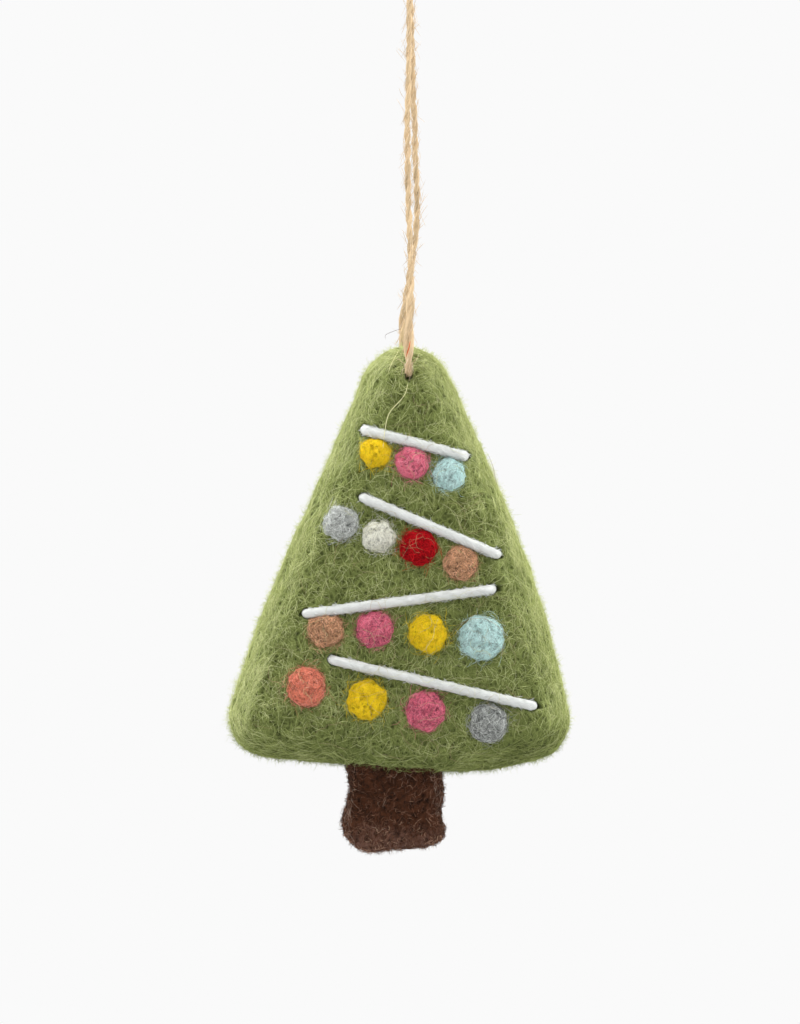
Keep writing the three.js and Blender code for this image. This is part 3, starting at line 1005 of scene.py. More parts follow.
class FELTTREE_OT_body(bpy.types.Operator):
    """Felt the green body round its batting core, with lumps and needle pits"""

    bl_idname = "felttree.body"
    bl_label = "Green body"

    def execute(self, context):
        settings = context.scene.felted_tree.wool
        finish = context.scene.felted_tree.finish
        batting = felt_material("batting", tuple(finish.natural_batting), 1.6 * MM)
        NODES["wool_core"].data.materials.clear()
        NODES["wool_core"].data.materials.append(batting)
        piece = felted("green_coat", "green_body", settings.voxel, 7)
        mark_outside(piece, "green_coat", 1.3 * MM, 2.3 * MM)
        lumps(piece, 7 * MM, settings.lump_height)
        lumps(piece, 2.2 * MM, 0.6 * settings.lump_height)
        self.close_eyelet(piece)
        self.sag(piece.data)
        hidden = {"vertex_group": "outside", "invert_vertex_group": True}
        finished(piece, "DECIMATE", ratio=0.62, **hidden)
        # The rim attribute holds a painted highlight over the edges, left out on the underside
        normals = normals_of(piece.data)
        rim = 1 - eased(np.abs(normals[:, 1]), 0.72, 0.985)
        add_values(piece.data, "rim", rim * (1 - eased(-normals[:, 2], 0.1, 0.6)))
        prick(piece, settings.pits, (0.35 * MM, 0.55 * MM), (0.15 * MM, 0.4 * MM), 5)
        self.open_holes(piece.data)
        # The felt under the loose fibres is darker than they are: painted shade beneath them
        wool = felt_material("green_felt", tinted(finish.green_wool, 0.8), 0.9 * MM, 0.2)
        dressed(piece, TREE, wool, replaces=["green_coat"])
        return {"FINISHED"}

    def close_eyelet(self, piece):
        """Draws the soft wool of the eyelet to the twine, tightest halfway through."""
        low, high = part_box("twine_eyelet_run")
        bore = 1.35 * MM
        sag = 0.4 * MM  # how far the bore's middle lies below the twine
        reach = 4 * MM
        middle = np.array(((low.x + high.x) / 2, (low.z + high.z) / 2 - sag))
        corners = corners_of(piece.data)
        aside = corners[:, [0, 2]] - middle
        away = np.maximum(np.linalg.norm(aside, axis=1), 1e-9)
        mouth = eased(np.abs(corners[:, 1]), 2.5 * MM, 5.5 * MM)
        share = np.clip((away - bore) / (reach - bore), 0, 1)
        tight = (0.4 + 0.4 * mouth) * MM
        wanted = np.where(away < reach, (1 - share) * tight + share * reach, away)
        corners[:, [0, 2]] = middle + aside * (wanted / away)[:, None]
        corners[:, 2] += (1 - share) * (1 - mouth) * sag
        move_corners(piece.data, corners)

    def sag(self, mesh):
        """Lets the loose wool of the underside hang lower: on the left and over the trunk."""
        corners = corners_of(mesh)
        x, y, z = corners.T
        span = eased(x, -34 * MM, -24 * MM) * (1 - eased(x, 20 * MM, 30 * MM))
        span *= 1 - 0.6 * eased(x, -10 * MM, 10 * MM)
        low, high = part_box("trunk_front_pad")
        lap = eased(x, low.x - 3 * MM, low.x) * (1 - eased(x, high.x, high.x + 3 * MM))
        lap *= eased(np.abs(y), 4.5 * MM, 6 * MM)
        fall = 0.5 * span * eased(-z, 143 * MM, 152 * MM)
        fall += 1.2 * lap * eased(-z, 144 * MM, 150 * MM)
        corners[:, 2] = z - fall * MM
        move_corners(mesh, corners)

    def open_holes(self, mesh):
        """Sinks the wool just beyond some ends of the yarn and darkens it there with painted shade.
        """
        corners = corners_of(mesh)
        pits = values_of(mesh, "pit")
        front = values_of(mesh, "outside") * (corners[:, 1] * FRONT > 0)
        for place, radius in open_stitches():
            away = np.linalg.norm(corners[:, [0, 2]] - place, axis=1)
            share = front * (1 - eased(away, 0.5 * radius, 1.3 * radius))
            # The holes share the needle pits' mark, so the felt paints shade into them
            pits = np.maximum(pits, share)
            corners[:, 1] -= FRONT * 0.6 * MM * share
        mesh.attributes["pit"].data.foreach_set("value", pits.astype(np.float32))
        move_corners(mesh, corners)


# Green fibres


def yarn_ends(node):
    """The two places, left and right, at which the middle of the yarn ends in the wool."""
    corners = corners_of(NODES[node].data)
    middle = (corners[:, 0].min() + corners[:, 0].max()) / 2
    ends = []
    for half in (corners[corners[:, 0] < middle], corners[corners[:, 0] > middle]):
        deep = half[half[:, 1] > half[:, 1].max() - 0.15 * MM]
        ends.append((deep.min(axis=0) + deep.max(axis=0)) / 2)
    return ends


# Radius of the hole, dark with painted shade, beyond the left and the right end of each yarn, in
# millimetres
HOLE_RADII = {
    "garland_top": (0, 0.3),
    "garland_upper": (0.35, 0.4),
    "garland_lower": (0.5, 0.7),
    "garland_bottom": (0, 0.65),
}
BEYOND_YARN = 1.1 * MM  # from the end of the yarn to the middle of its hole


def open_stitches():
    """Where a hole, dark with painted shade, shows beyond an end of the yarn, across and up, and
    its radius.
    """
    holes = []
    for node, sizes in HOLE_RADII.items():
        ends = yarn_ends(node)
        along = unit((ends[1] - ends[0])[[0, 2]])
        for end, way, size in zip(ends, (-1, 1), sizes):
            if size:
                holes.append((end[[0, 2]] + way * BEYOND_YARN * along, size * MM))
    return holes


class Bare:
    """Where fibres leave one face of the wool bare, as a grid of cells."""

    CELL = 0.1 * MM
    MARGIN = 4 * MM

    def __init__(self):
        low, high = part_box("green_coat")
        self.low = np.array((low.x, low.z)) - self.MARGIN
        size = (np.array((high.x, high.z)) + self.MARGIN - self.low) / self.CELL
        self.cells = np.zeros(size.astype(int) + 1, bool)

    def disc(self, x, z, radius):
        middle = (np.array((x, z)) - self.low) / self.CELL
        reach = radius / self.CELL
        first = np.maximum((middle - reach).astype(int), 0)
        last = np.minimum((middle + reach).astype(int) + 2, self.cells.shape)
        columns, rows = np.ogrid[first[0] : last[0], first[1] : last[1]]
        near = np.hypot(columns - middle[0], rows - middle[1]) < reach
        self.cells[first[0] : last[0], first[1] : last[1]] |= near

    def strip(self, start, end, radius):
        for share in np.linspace(0, 1, 240):
            x, _, z = (1 - share) * start + share * end
            self.disc(x, z, radius)

    def holds(self, places):
        """Whether each place is over a bare cell."""
        cells = ((places[..., [0, 2]] - self.low) / self.CELL).astype(int)
        cells = np.clip(cells, 0, np.array(self.cells.shape) - 1)
        return self.cells[cells[..., 0], cells[..., 1]]


class FELTTREE_OT_fibres(bpy.types.Operator):
    """Lay loose green fibres over the body in layers, and let fine ones stand off its outline"""

    bl_idname = "felttree.fibres"
    bl_label = "Green fibres"

    # Name, share of the fibres, share of them that lies only at the edge, lengths, thicknesses
    # and rises in millimetres, shades, curl and wander
    # The deeper layers take darker shades: painted shade among the fibres
    LAYERS = (
        ("under", 0.06, 0, (2, 5), (0.1, 0.15), (0, 0.1), (0, 0.25), 160, 0.16),
        ("web", 0.42, 0.1, (1.5, 4), (0.055, 0.095), (0.04, 0.26), (0.04, 0.66), 380, 0.22),
        ("top", 0.52, 0.28, (1.8, 4.6), (0.04, 0.078), (0.14, 0.46), (0.4, 1), 300, 0.17),
    )
    MOST = 8000  # fibres in one piece, which keeps it under 200,000 triangles
    BAUBLE_LAP = 1.3 * MM  # how far fibres may reach in over a bauble
    # Radii of the bare places along the yarn, at its ends, at the eyelet and in a needle pit
    YARN_BARE = 0.25 * MM
    YARN_END_BARE = 1.1 * MM
    EYELET_BARE = 0.8 * MM
    PIT_BARE = 0.17 * MM
    FACE_DEPTH = 3.5 * MM  # wool further forward or back than this counts as one of the faces

    def execute(self, context):
        settings = context.scene.felted_tree.wool
        shade = tuple(context.scene.felted_tree.finish.green_wool)
        self.rng = np.random.default_rng(7)
        self.surface = Surface(bpy.data.objects["green_body"], only="outside")
        self.bare = self.bare_places()
        batches = {row[0]: self.layer(settings.fibres, row) for row in self.LAYERS}
        batches["flyaway"] = self.flyaways(settings.flyaways)
        # The dark stops carry the painted shade of deep fibres, and the pale ones the fibres' own
        # light tones and the painted edge highlight
        stops = [
            (0, tinted(shade, 0.1)),
            (0.45, tinted(shade, 1.3)),
            (0.75, (0.53, 0.6, 0.215)),
            (1, (0.77, 0.81, 0.41)),
        ]
        wool = fibre_material("green_fibres", stops)
        for layer, batch in batches.items():
            pieces = math.ceil(len(batch[0]) / self.MOST)
            for part in range(pieces):
                chosen = [values[part::pieces] for values in batch]
                piece = tubes(f"green_{layer}_fibres_{part + 1}", *chosen)
                dressed(piece, TREE, wool)
        return {"FINISHED"}

    def bare_places(self):
        """No fibre lies over a bauble, a length of yarn, the eyelet or a needle pit."""
        faces = {sign: Bare() for sign in (FRONT, -FRONT)}
        front = faces[FRONT]
        for node in BAUBLES:
            low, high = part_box(node)
            radius = (high.x - low.x) / 2
            front.disc((low.x + high.x) / 2, (low.z + high.z) / 2, radius - self.BAUBLE_LAP)
        for node in GARLANDS:
            start, end = yarn_ends(node)
            front.strip(start, end, self.YARN_BARE)
            for place in (start, end):
                front.disc(place[0], place[2], self.YARN_END_BARE)
        for place, radius in open_stitches():
            front.disc(*place, radius)
        low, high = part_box("twine_eyelet_run")
        mesh = bpy.data.objects["green_body"].data
        pitted = corners_of(mesh)[values_of(mesh, "pit") > 0.55]
        for sign, bare in faces.items():
            bare.disc((low.x + high.x) / 2, low.z, self.EYELET_BARE)
            for x, _, z in pitted[pitted[:, 1] * sign > 0]:
                bare.disc(x, z, self.PIT_BARE)
        return faces

    def allowed(self, paths):
        """Which fibres cross no bare place."""
        starts, ends = paths[:, :-1], paths[:, 1:]
        places = [(1 - share) * starts + share * ends for share in (0, 0.25, 0.5, 0.75)]
        places = np.concatenate([*places, ends[:, -1:]], axis=1)
        barred = np.zeros(len(paths), bool)
        for sign, bare in self.bare.items():
            on_face = places[..., 1] * sign > self.FACE_DEPTH
            barred |= (bare.holds(places) & on_face).any(axis=1)
        return ~barred

    def rim(self, normals):
        """1 where the wool turns over the edge and 0 on the two faces."""
        return 1 - eased(np.abs(normals[:, 1]), 0.7, 0.985)

    def paler(self, normals):
        """How much lighter the wool is painted, as a painted highlight: most of all over the edges,
        but not underneath.
        """
        return self.rim(normals) * (1 - eased(-normals[:, 2], 0.1, 0.6))

    def combed(self, normals):
        """Headings along the outline near the edge, and mostly up and down on the faces."""
        rim = self.rim(normals)
        along = unit(np.cross(normals, (0, 1, 0)))
        along *= np.where(along[:, 2:] < 0, -1, 1)
        upright = np.array((0, 0, 1)) - normals * normals[:, 2:]
        heading = unit(rim[:, None] * along + (1 - rim[:, None]) * upright)
        spread = self.rng.normal(0, 1, len(normals)) * (0.75 - 0.42 * rim)
        return turned(heading, normals, spread)

    def layer(self, total, row):
        """One layer of fibres that lie on the wool."""
        _, share, at_edge, lengths, thicknesses, rises, shades, curl, wander = row
        stations = FEW_STATIONS
        wanted = int(share * total)
        number = int(wanted * 2.3)  # enough after those over bare places are taken out
        rng = self.rng

        def thickness(middles, normals):
            edge = self.rim(normals)
            front = np.where(normals[:, 1] * FRONT > -0.3, 1.3, 0.7)
            return front * (1 - at_edge + at_edge * edge / edge.mean())

        starts, normals = self.surface.scatter(number, rng, thickness)
        long = rng.uniform(*lengths, number) * MM * (1 + 0.5 * self.rim(normals))
        height = eased(starts[:, 2], -140 * MM, -85 * MM)
        curls = rng.normal(0, curl, number) * (1 - 0.6 * self.rim(normals)) * (1.3 - 0.6 * height)
        headings = self.combed(normals)
        settle = self.surface.nearest
        places, ways = creep(settle, starts, headings, long, curls, wander, stations, rng)
        kept = np.nonzero(self.allowed(places))[0][:wanted]
        places, ways = places[kept], ways[kept]
        number = len(kept)
        paths = lifted(places, ways, rises[0] * MM, rises[1] * MM, rng)
        radii = tapered(rng.uniform(*thicknesses, number) * MM / 2, stations)
        tones = self.tones(places[:, stations // 2], ways[:, stations // 2], shades)
        # The ends of each fibre, where it dips into the wool, are darkened: painted shade
        painted_end_shade = 0.16 * (1 - np.sin(np.pi * np.linspace(0, 1, stations)))
        return paths, radii, np.clip(tones[:, None] - painted_end_shade, 0, 1)

    def tones(self, middles, ways, shades):
        """How pale each fibre is, by its place and by the way that the wool under it faces, with
        painted light and shade as well as random tone.
        """
        rim = self.rim(ways)
        paler = self.paler(ways)
        patches = [noise.noise(Vector(place) / (6 * MM)) for place in middles.tolist()]
        height = eased(middles[:, 2], -130 * MM, -75 * MM)
        below = eased(-ways[:, 2], 0.1, 0.6)
        # A random tone and patches, and the painted edge highlight
        tones = self.rng.uniform(*shades, len(middles)) + 0.2 * paler + 0.15 * np.array(patches)
        # Painted light lightens the faces higher up, and painted shade darkens wool that faces down
        tones += 0.06 * height * (1 - rim) - 0.07 * below + 0.045
        # The painted edge highlight is stronger high on the right and low on the left, and the
        # right is a little darker
        across = 2 * eased(middles[:, 0], -18 * MM, 14 * MM) - 1
        upward = 2 * eased(middles[:, 2], -142 * MM, -112 * MM) - 1
        tones += 0.07 * across * upward * paler - 0.02 * across.clip(0)
        return tones

    def flyaways(self, number):
        """Fine fibres that leave the wool, most of them at the edge."""
        rng = self.rng
        starts, normals = self.surface.scatter(
            number, rng, lambda middles, normals: 1.04 - eased(np.abs(normals[:, 1]), 0.3, 0.8)
        )
        outward = rng.uniform(0.3, 1.8, (number, 1))
        headings = unit(any_way(normals, rng) + normals * outward)
        lengths = rng.uniform(0.4 * MM, 1.5 * MM, number)
        lengths[rng.random(number) < 0.1] *= 1.8
        curls = rng.uniform(100, 1500, number)
        paths = stray(
            starts + normals * 0.25 * MM, headings, lengths, curls, 0.22, rng, FEW_STATIONS
        )
        radii = tapered(rng.uniform(0.014 * MM, 0.03 * MM, number), FEW_STATIONS)
        # Flyaways over the edges take the painted edge highlight
        tones = rng.uniform(0.4, 0.75, number) + 0.35 * self.paler(normals)
        shades = even(tones.clip(0, 1), FEW_STATIONS)
        clear = self.allowed(paths)
        return paths[clear], radii[clear], shades[clear]


# Trunk


class FELTTREE_OT_trunk(bpy.types.Operator):
    """Felt the two pads of the trunk and lay curled brown fibres over them"""

    bl_idname = "felttree.trunk"
    bl_label = "Trunk"

    REDDISH = (0.052, 0.019, 0.009)  # the matted felt under the loose fibres
    OVERHANG_FIBRES = 1700
    PALE_FIBRES = 130

    def execute(self, context):
        settings = context.scene.felted_tree.trunk
        shade = tuple(context.scene.felted_tree.finish.brown_felt)
        felt = felt_material("brown_felt", tinted(self.REDDISH, 1.35), 0.8 * MM, 0.2)
        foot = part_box("trunk_front_pad")[0].z
        pads = []
        for side, seed in (("front", 21), ("back", 22)):
            node = f"trunk_{side}_pad"
            piece = felted(node, f"trunk_{side}_felt", settings.voxel, 5)
            mark_outside(piece, node, 0.8 * MM, 1.8 * MM)
            lumps(piece, 3.5 * MM, 0.6 * MM)
            lumps(piece, 1.1 * MM, 0.65 * MM)
            prick(piece, 270, (0.3 * MM, 0.7 * MM), (0.25 * MM, 0.6 * MM), seed)
            height = corners_of(piece.data)[:, 2] - foot
            add_values(piece.data, "rim", 1.4 * (1 - eased(height, 0, 9 * MM)))
            dressed(piece, TREE, felt, replaces=[node])
            pads.append(piece)
        surface = Surface(*pads)
        self.fibres(surface, settings, shade)
        self.pale_fibres(surface)
        self.overhang(Surface(*pads, bpy.data.objects["green_body"]))
        return {"FINISHED"}

    def overhang(self, surface):
        """Green fibres that reach down over the top of the trunk on both faces."""
        rng = np.random.default_rng(25)
        number = self.OVERHANG_FIBRES
        low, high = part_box("trunk_front_pad")
        x = rng.uniform(low.x - 0.6 * MM, high.x + 0.6 * MM, number)
        seam = self.underside(x)
        z = seam + (0.9 - 2 * rng.random(number) ** 1.3) * MM
        side = np.where(rng.random(number) < 0.6, FRONT, -FRONT)
        starts, normals = surface.nearest(np.stack([x, side * 6.4 * MM, z], axis=1))
        look = (0.2, (0.1, 0.5), (0.028, 0.05))
        paths, radii, _ = tangled(
            surface.nearest, starts, normals, (0.9, 3), 800, look, rng, FEW_STATIONS
        )
        shades = even(rng.uniform(0.1, 0.9, number), FEW_STATIONS)
        kept = paths[..., 2].min(axis=1) > seam - 1.3 * MM
        wool = bpy.data.materials["green_fibres"]
        piece = tubes("green_overhang_fibres", paths[kept], radii[kept], shades[kept])
        dressed(piece, TREE, wool)

    def underside(self, x):
        """The lowest height of the green wool in front of the trunk, at each x."""
        corners = corners_of(bpy.data.objects["green_body"].data)
        corners = corners[corners[:, 1] * FRONT > 5 * MM]
        spots = np.linspace(x.min(), x.max(), 24)
        step = spots[1] - spots[0]
        lows = [corners[np.abs(corners[:, 0] - spot) < step, 2].min() for spot in spots]
        return np.interp(x, spots, lows)

    def fibres(self, surface, settings, shade):
        rng = np.random.default_rng(23)
        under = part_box("green_coat")[0].z + 2.5 * MM
        number = settings.fibres
        starts, normals = surface.scatter(
            number, rng, lambda middles, normals: (middles[:, 2] < under) * self.outer(middles)
        )
        look = (0.3, (0.05, 0.6), (0.03, 0.062))
        lying, radii, _ = tangled(surface.nearest, starts, normals, (1, 2.8), 1300, look, rng)
        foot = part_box("trunk_front_pad")[0].z
        lower = 1 - eased(lying[:, 0, 2], foot, foot + 9 * MM)
        shades = even(np.clip(rng.beta(0.8, 1.7, number) + 0.33 * lower, 0, 1))
        stops = [
            (0, tinted(shade, 0.2)),
            (0.4, (0.085, 0.036, 0.019)),
            (0.75, (0.25, 0.12, 0.075)),
            (1, (0.5, 0.31, 0.21)),
        ]
        wool = fibre_material("brown_fibres", stops)
        dressed(tubes("trunk_fibres", lying, radii, shades), TREE, wool)
        number = settings.standing
        starts, normals = surface.scatter(
            number,
            rng,
            lambda middles, normals: (middles[:, 2] < under) * (1.04 - np.abs(normals[:, 1])),
        )
        headings = unit(any_way(normals, rng) + normals * rng.uniform(0.1, 1.4, (number, 1)))
        lengths = rng.uniform(0.6 * MM, 1.6 * MM, number)
        curls = rng.uniform(600, 2200, number)
        standing = stray(starts, headings, lengths, curls, 0.25, rng)
        radii = tapered(rng.uniform(0.026 * MM, 0.048 * MM, number))
        shades = even(rng.uniform(0.35, 1, number))
        frizz = tubes("trunk_standing_fibres", standing, radii, shades)
        dressed(frizz, TREE, wool)

    def outer(self, middles):
        """1 away from the seam between the two pads and 0 in it."""
        return eased(np.abs(middles[:, 1]), 0.25 * MM, 0.5 * MM)

    def pale_fibres(self, surface):
        """Pale fibres: in the crease on the right, under the green wool and down the left."""
        rng = np.random.default_rng(24)
        low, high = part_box("trunk_front_pad")
        number = self.PALE_FIBRES
        place = rng.choice(4, number, p=(0.32, 0.3, 0.18, 0.2))
        crease, under, left = (place == part for part in (0, 1, 2))
        x = rng.uniform(low.x, high.x, number)
        x[crease] = high.x - rng.uniform(0.2 * MM, 1.8 * MM, crease.sum())
        x[left] = low.x + rng.uniform(0.2 * MM, 1.2 * MM, left.sum())
        z = low.z + rng.uniform(1 * MM, 15 * MM, number)
        z[crease] = low.z + rng.uniform(7.5 * MM, 14.5 * MM, crease.sum())
        z[under] = low.z + rng.uniform(14.4 * MM, 16.4 * MM, under.sum())
        z[left] = low.z + rng.uniform(4 * MM, 12 * MM, left.sum())
        starts, normals = surface.nearest(np.stack([x, np.full(number, -6 * MM), z], axis=1))
        headings = any_way(normals, rng)
        headings[left] = (0, 0, -1)
        lengths = rng.uniform(1 * MM, 3 * MM, number)
        lengths[left] *= 1.6
        curls = rng.normal(0, 800, number)
        curls[left] *= 0.15
        look = (0.2, (0.15, 0.6), (0.022, 0.042))
        paths, radii, _ = laid(surface.nearest, starts, headings, lengths, curls, look, rng)
        shades = even(rng.uniform(0.1, 1, number))
        stops = [(0, (0.15, 0.075, 0.05)), (0.6, (0.3, 0.18, 0.13)), (1, (0.55, 0.42, 0.33))]
        pale = fibre_material("pale_trunk_fibres", stops)
        dressed(tubes("trunk_pale_fibres", paths, radii, shades), TREE, pale)


# Garlands


class FELTTREE_OT_garlands(bpy.types.Operator):
    """Lay the four lengths of soft white yarn, each end going into its hole in the wool"""

    bl_idname = "felttree.garlands"
    bl_label = "Garlands"

    BEND = 2 * MM  # radius at which the yarn turns into the wool

    def execute(self, context):
        settings = context.scene.felted_tree.yarn
        shade = tuple(context.scene.felted_tree.finish.white_yarn)
        stops = [
            (0.2, tinted(shade, 0.76)),
            (0.45, tinted(shade, 0.93)),
            (0.8, tinted(shade, 1.04)),
        ]
        yarn = plied_material("yarn_plies", stops, 0.22 * MM, 0.025 * MM, 0.25)
        fuzz_stops = [(0, tinted(shade, 0.9)), (1, tinted(shade, 1.2))]
        fuzz = fibre_material("yarn_fuzz", fuzz_stops)
        rng = np.random.default_rng(31)
        for node in GARLANDS:
            path = self.route(node, settings.diameter / 2)
            wound = plies(path, 0.07 * settings.diameter, settings.pitch, 3, 0.7)
            swell = rng.normal(0, 1, (3, 60))
            along = np.linspace(0, 59, wound.shape[1])
            swell = np.array([np.interp(along, np.arange(60), row) for row in swell])
            radii = settings.diameter * (0.41 + 0.016 * swell)
            shades = np.full(radii.shape, 0.5)
            piece = tubes(f"{node}_yarn", wound, blunt_ends(radii), shades, sides=10)
            dressed(piece, TREE, yarn, replaces=[node])
            fine = tubes(f"{node}_fuzz", *self.fuzz(path, settings, rng))
            dressed(fine, TREE, fuzz)
        return {"FINISHED"}

    def route(self, node, radius):
        """Up out of the wool, round a bend, along the front of the node and back in."""
        skin = Surface(NODES[node])
        left, right = yarn_ends(node)
        reach = np.linalg.norm((right - left)[[0, 2]])
        shares = np.linspace(self.BEND / reach, 1 - self.BEND / reach, 9)[:, None]
        lying = skin.foremost((1 - shares) * left + shares * right)[0]
        lying[:, 1] -= FRONT * radius
        into_right = self.bend(lying[-1], right)
        out_of_left = self.bend(lying[0], left)[::-1]
        return smooth_path([left, *out_of_left, *lying, *into_right, right], 150)

    def bend(self, top, deep):
        """Places on the quarter turn from the lying yarn towards its end in the wool."""
        places = []
        for angle in np.radians((30, 60, 90)):
            place = top + (deep - top) * math.sin(angle)
            place[1] = top[1] - FRONT * self.BEND * (1 - math.cos(angle))
            places.append(place)
        return places

    def fuzz(self, path, settings, rng):
        number = settings.fuzz
        picked = rng.integers(8, len(path) - 8, number)
        tangents = unit(np.gradient(path, axis=0))[picked]
        aside = unit(np.cross(tangents, rng.normal(size=(number, 3))))
        starts = path[picked] + aside * settings.diameter * rng.uniform(0.44, 0.5, (number, 1))
        side = np.sign(rng.normal(size=(number, 1)))
        lift = 0.02 + 0.4 * rng.random((number, 1)) ** 2
        headings = unit(side * tangents + np.cross(tangents, aside) * 0.5 + aside * lift)
        lengths = rng.uniform(0.5 * MM, 1.5 * MM, number)
        curls = rng.uniform(60, 900, number)
        paths = stray(starts, headings, lengths, curls, 0.12, rng, FEW_STATIONS)
        radii = tapered(rng.uniform(0.025 * MM, 0.06 * MM, number), FEW_STATIONS)
        return paths, radii, even(rng.random(number), FEW_STATIONS)


# Baubles


class FELTTREE_OT_baubles(bpy.types.Operator):
    """Felt the fifteen baubles, with curled fibres over them and a thin halo round each"""

    bl_idname = "felttree.baubles"
    bl_label = "Baubles"

    # How dark the deepest strands and the felt's gaps of each slot's wool are, as painted shade,
    # and how far the palest ones are drawn to white
    CONTRAST = {
        "aqua_wool": (0.45, 0.25),
        "coral_wool": (0.3, 0.22),
        "cream_wool": (0.62, 0.2),
        "grey_wool": (0.2, 0.45),
        "pink_wool": (0.3, 0.22),
        "red_wool": (0.3, 0.01),
        "tan_wool": (0.26, 0.16),
        "yellow_wool": (0.7, 0.04),
    }
    # How much brighter or darker a bauble is than others of its colour
    TONES = {
        "bauble_row1_yellow": 0.3,
        "bauble_row1_pink": 0.5,
        "bauble_row2_grey": 0.45,
        "bauble_row4_grey": -0.35,
    }
    # Fibres round each rim: those of the bauble's own wool, and green ones that lap over it
    HALO_FIBRES = 230
    LAPPING_FIBRES = 60

    def execute(self, context):
        settings = context.scene.felted_tree.bauble
        finish = context.scene.felted_tree.finish
        materials = {}
        for slot in sorted({SLOT_OF[node] for node in BAUBLES}):
            shade = tuple(getattr(finish, slot))
            low, pale = self.CONTRAST[slot]
            felt = felt_material(f"{slot}_felt", tinted(shade, 1.1), 0.6 * MM, low)
            wool = fibre_material(f"{slot}_fibres", wool_stops(shade, low, pale))
            materials[slot] = (felt, wool)
        balls = {}
        for seed, node in enumerate(BAUBLES, 41):
            piece = felted(node, f"{node}_felt", settings.voxel, 4)
            mark_outside(piece, node, 0.8 * MM, 1.6 * MM)
            lumps(piece, 2.2 * MM, 0.9 * MM)
            prick(piece, 44, (0.25 * MM, 0.5 * MM), (0.2 * MM, 0.5 * MM), seed)
            tone = self.TONES.get(node, 0)
            add_values(piece.data, "rim", np.full(len(piece.data.vertices), tone))
            dressed(piece, TREE, materials[SLOT_OF[node]][0], replaces=[node])
            balls[node] = piece
        ground = Surface(bpy.data.objects["green_body"], *balls.values())
        rng = np.random.default_rng(60)
        laps = []
        for node, piece in balls.items():
            low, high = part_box(node)
            radius = (high.x - low.x) / 2
            middle = (low + high) / 2
            number = int(settings.fibres * (radius / (4 * MM)) ** 2)
            over = self.over(Surface(piece), number, rng)
            halo = self.halo(ground, middle, radius, self.HALO_FIBRES, (0.86, 1.06), rng)
            paths, radii, shades = merged(over, halo)
            shades = np.clip(shades + 0.3 * self.TONES.get(node, 0), 0, 1)
            fibres = tubes(f"{node}_fibres", paths, radii, shades)
            dressed(fibres, TREE, materials[SLOT_OF[node]][1])
            laps.append(
                self.halo(ground, middle, radius, self.LAPPING_FIBRES, (0.97, 1.2), rng)
            )
        wool = bpy.data.materials["green_fibres"]
        dressed(tubes("green_lapping_fibres", *merged(*laps)), TREE, wool)
        return {"FINISHED"}

    def over(self, ball, number, rng):
        """Fibres that curl over the bauble."""
        starts, normals = ball.scatter(number, rng, lambda middles, normals: normals[:, 1] < -0.1)
        look = (0.25, (0.02, 0.42), (0.028, 0.052))
        paths, radii, _ = tangled(ball.nearest, starts, normals, (1, 3.2), 900, look, rng)
        return paths, radii, even(rng.beta(0.8, 0.8, number))

    def halo(self, ground, middle, radius, number, reach, rng):
        """Fibres that run round the bauble's rim, and short ones that cross it.

        They start within the two shares of the bauble's radius in reach.
        """
        angles = rng.uniform(0, 2 * np.pi, number)
        ring = np.stack([np.cos(angles), np.zeros(number), np.sin(angles)], axis=1)
        around = np.stack([-np.sin(angles), np.zeros(number), np.cos(angles)], axis=1)
        starts = np.array(middle) + ring * radius * rng.uniform(*reach, (number, 1))
        short = rng.random(number) < 0.55
        way = np.sign(rng.normal(size=number))
        spread = way * np.where(short, rng.normal(1.1, 1, number), rng.normal(1.5, 0.3, number))
        spread = spread[:, None]
        headings = ring * np.cos(spread) + around * np.sin(spread)
        long = rng.uniform(1.5 * MM, 4.5 * MM, number)
        lengths = np.where(short, rng.uniform(0.6 * MM, 1.6 * MM, number), long)
        curls = way * rng.normal(0.9 / radius, 0.7 / radius, number)
        look = (0.22, (0.05, 0.4), (0.02, 0.038))
        paths, radii, _ = laid(ground.foremost, starts, headings, lengths, curls, look, rng)
        return paths, radii, even(rng.uniform(0.2, 0.95, number))


# Stray hairs


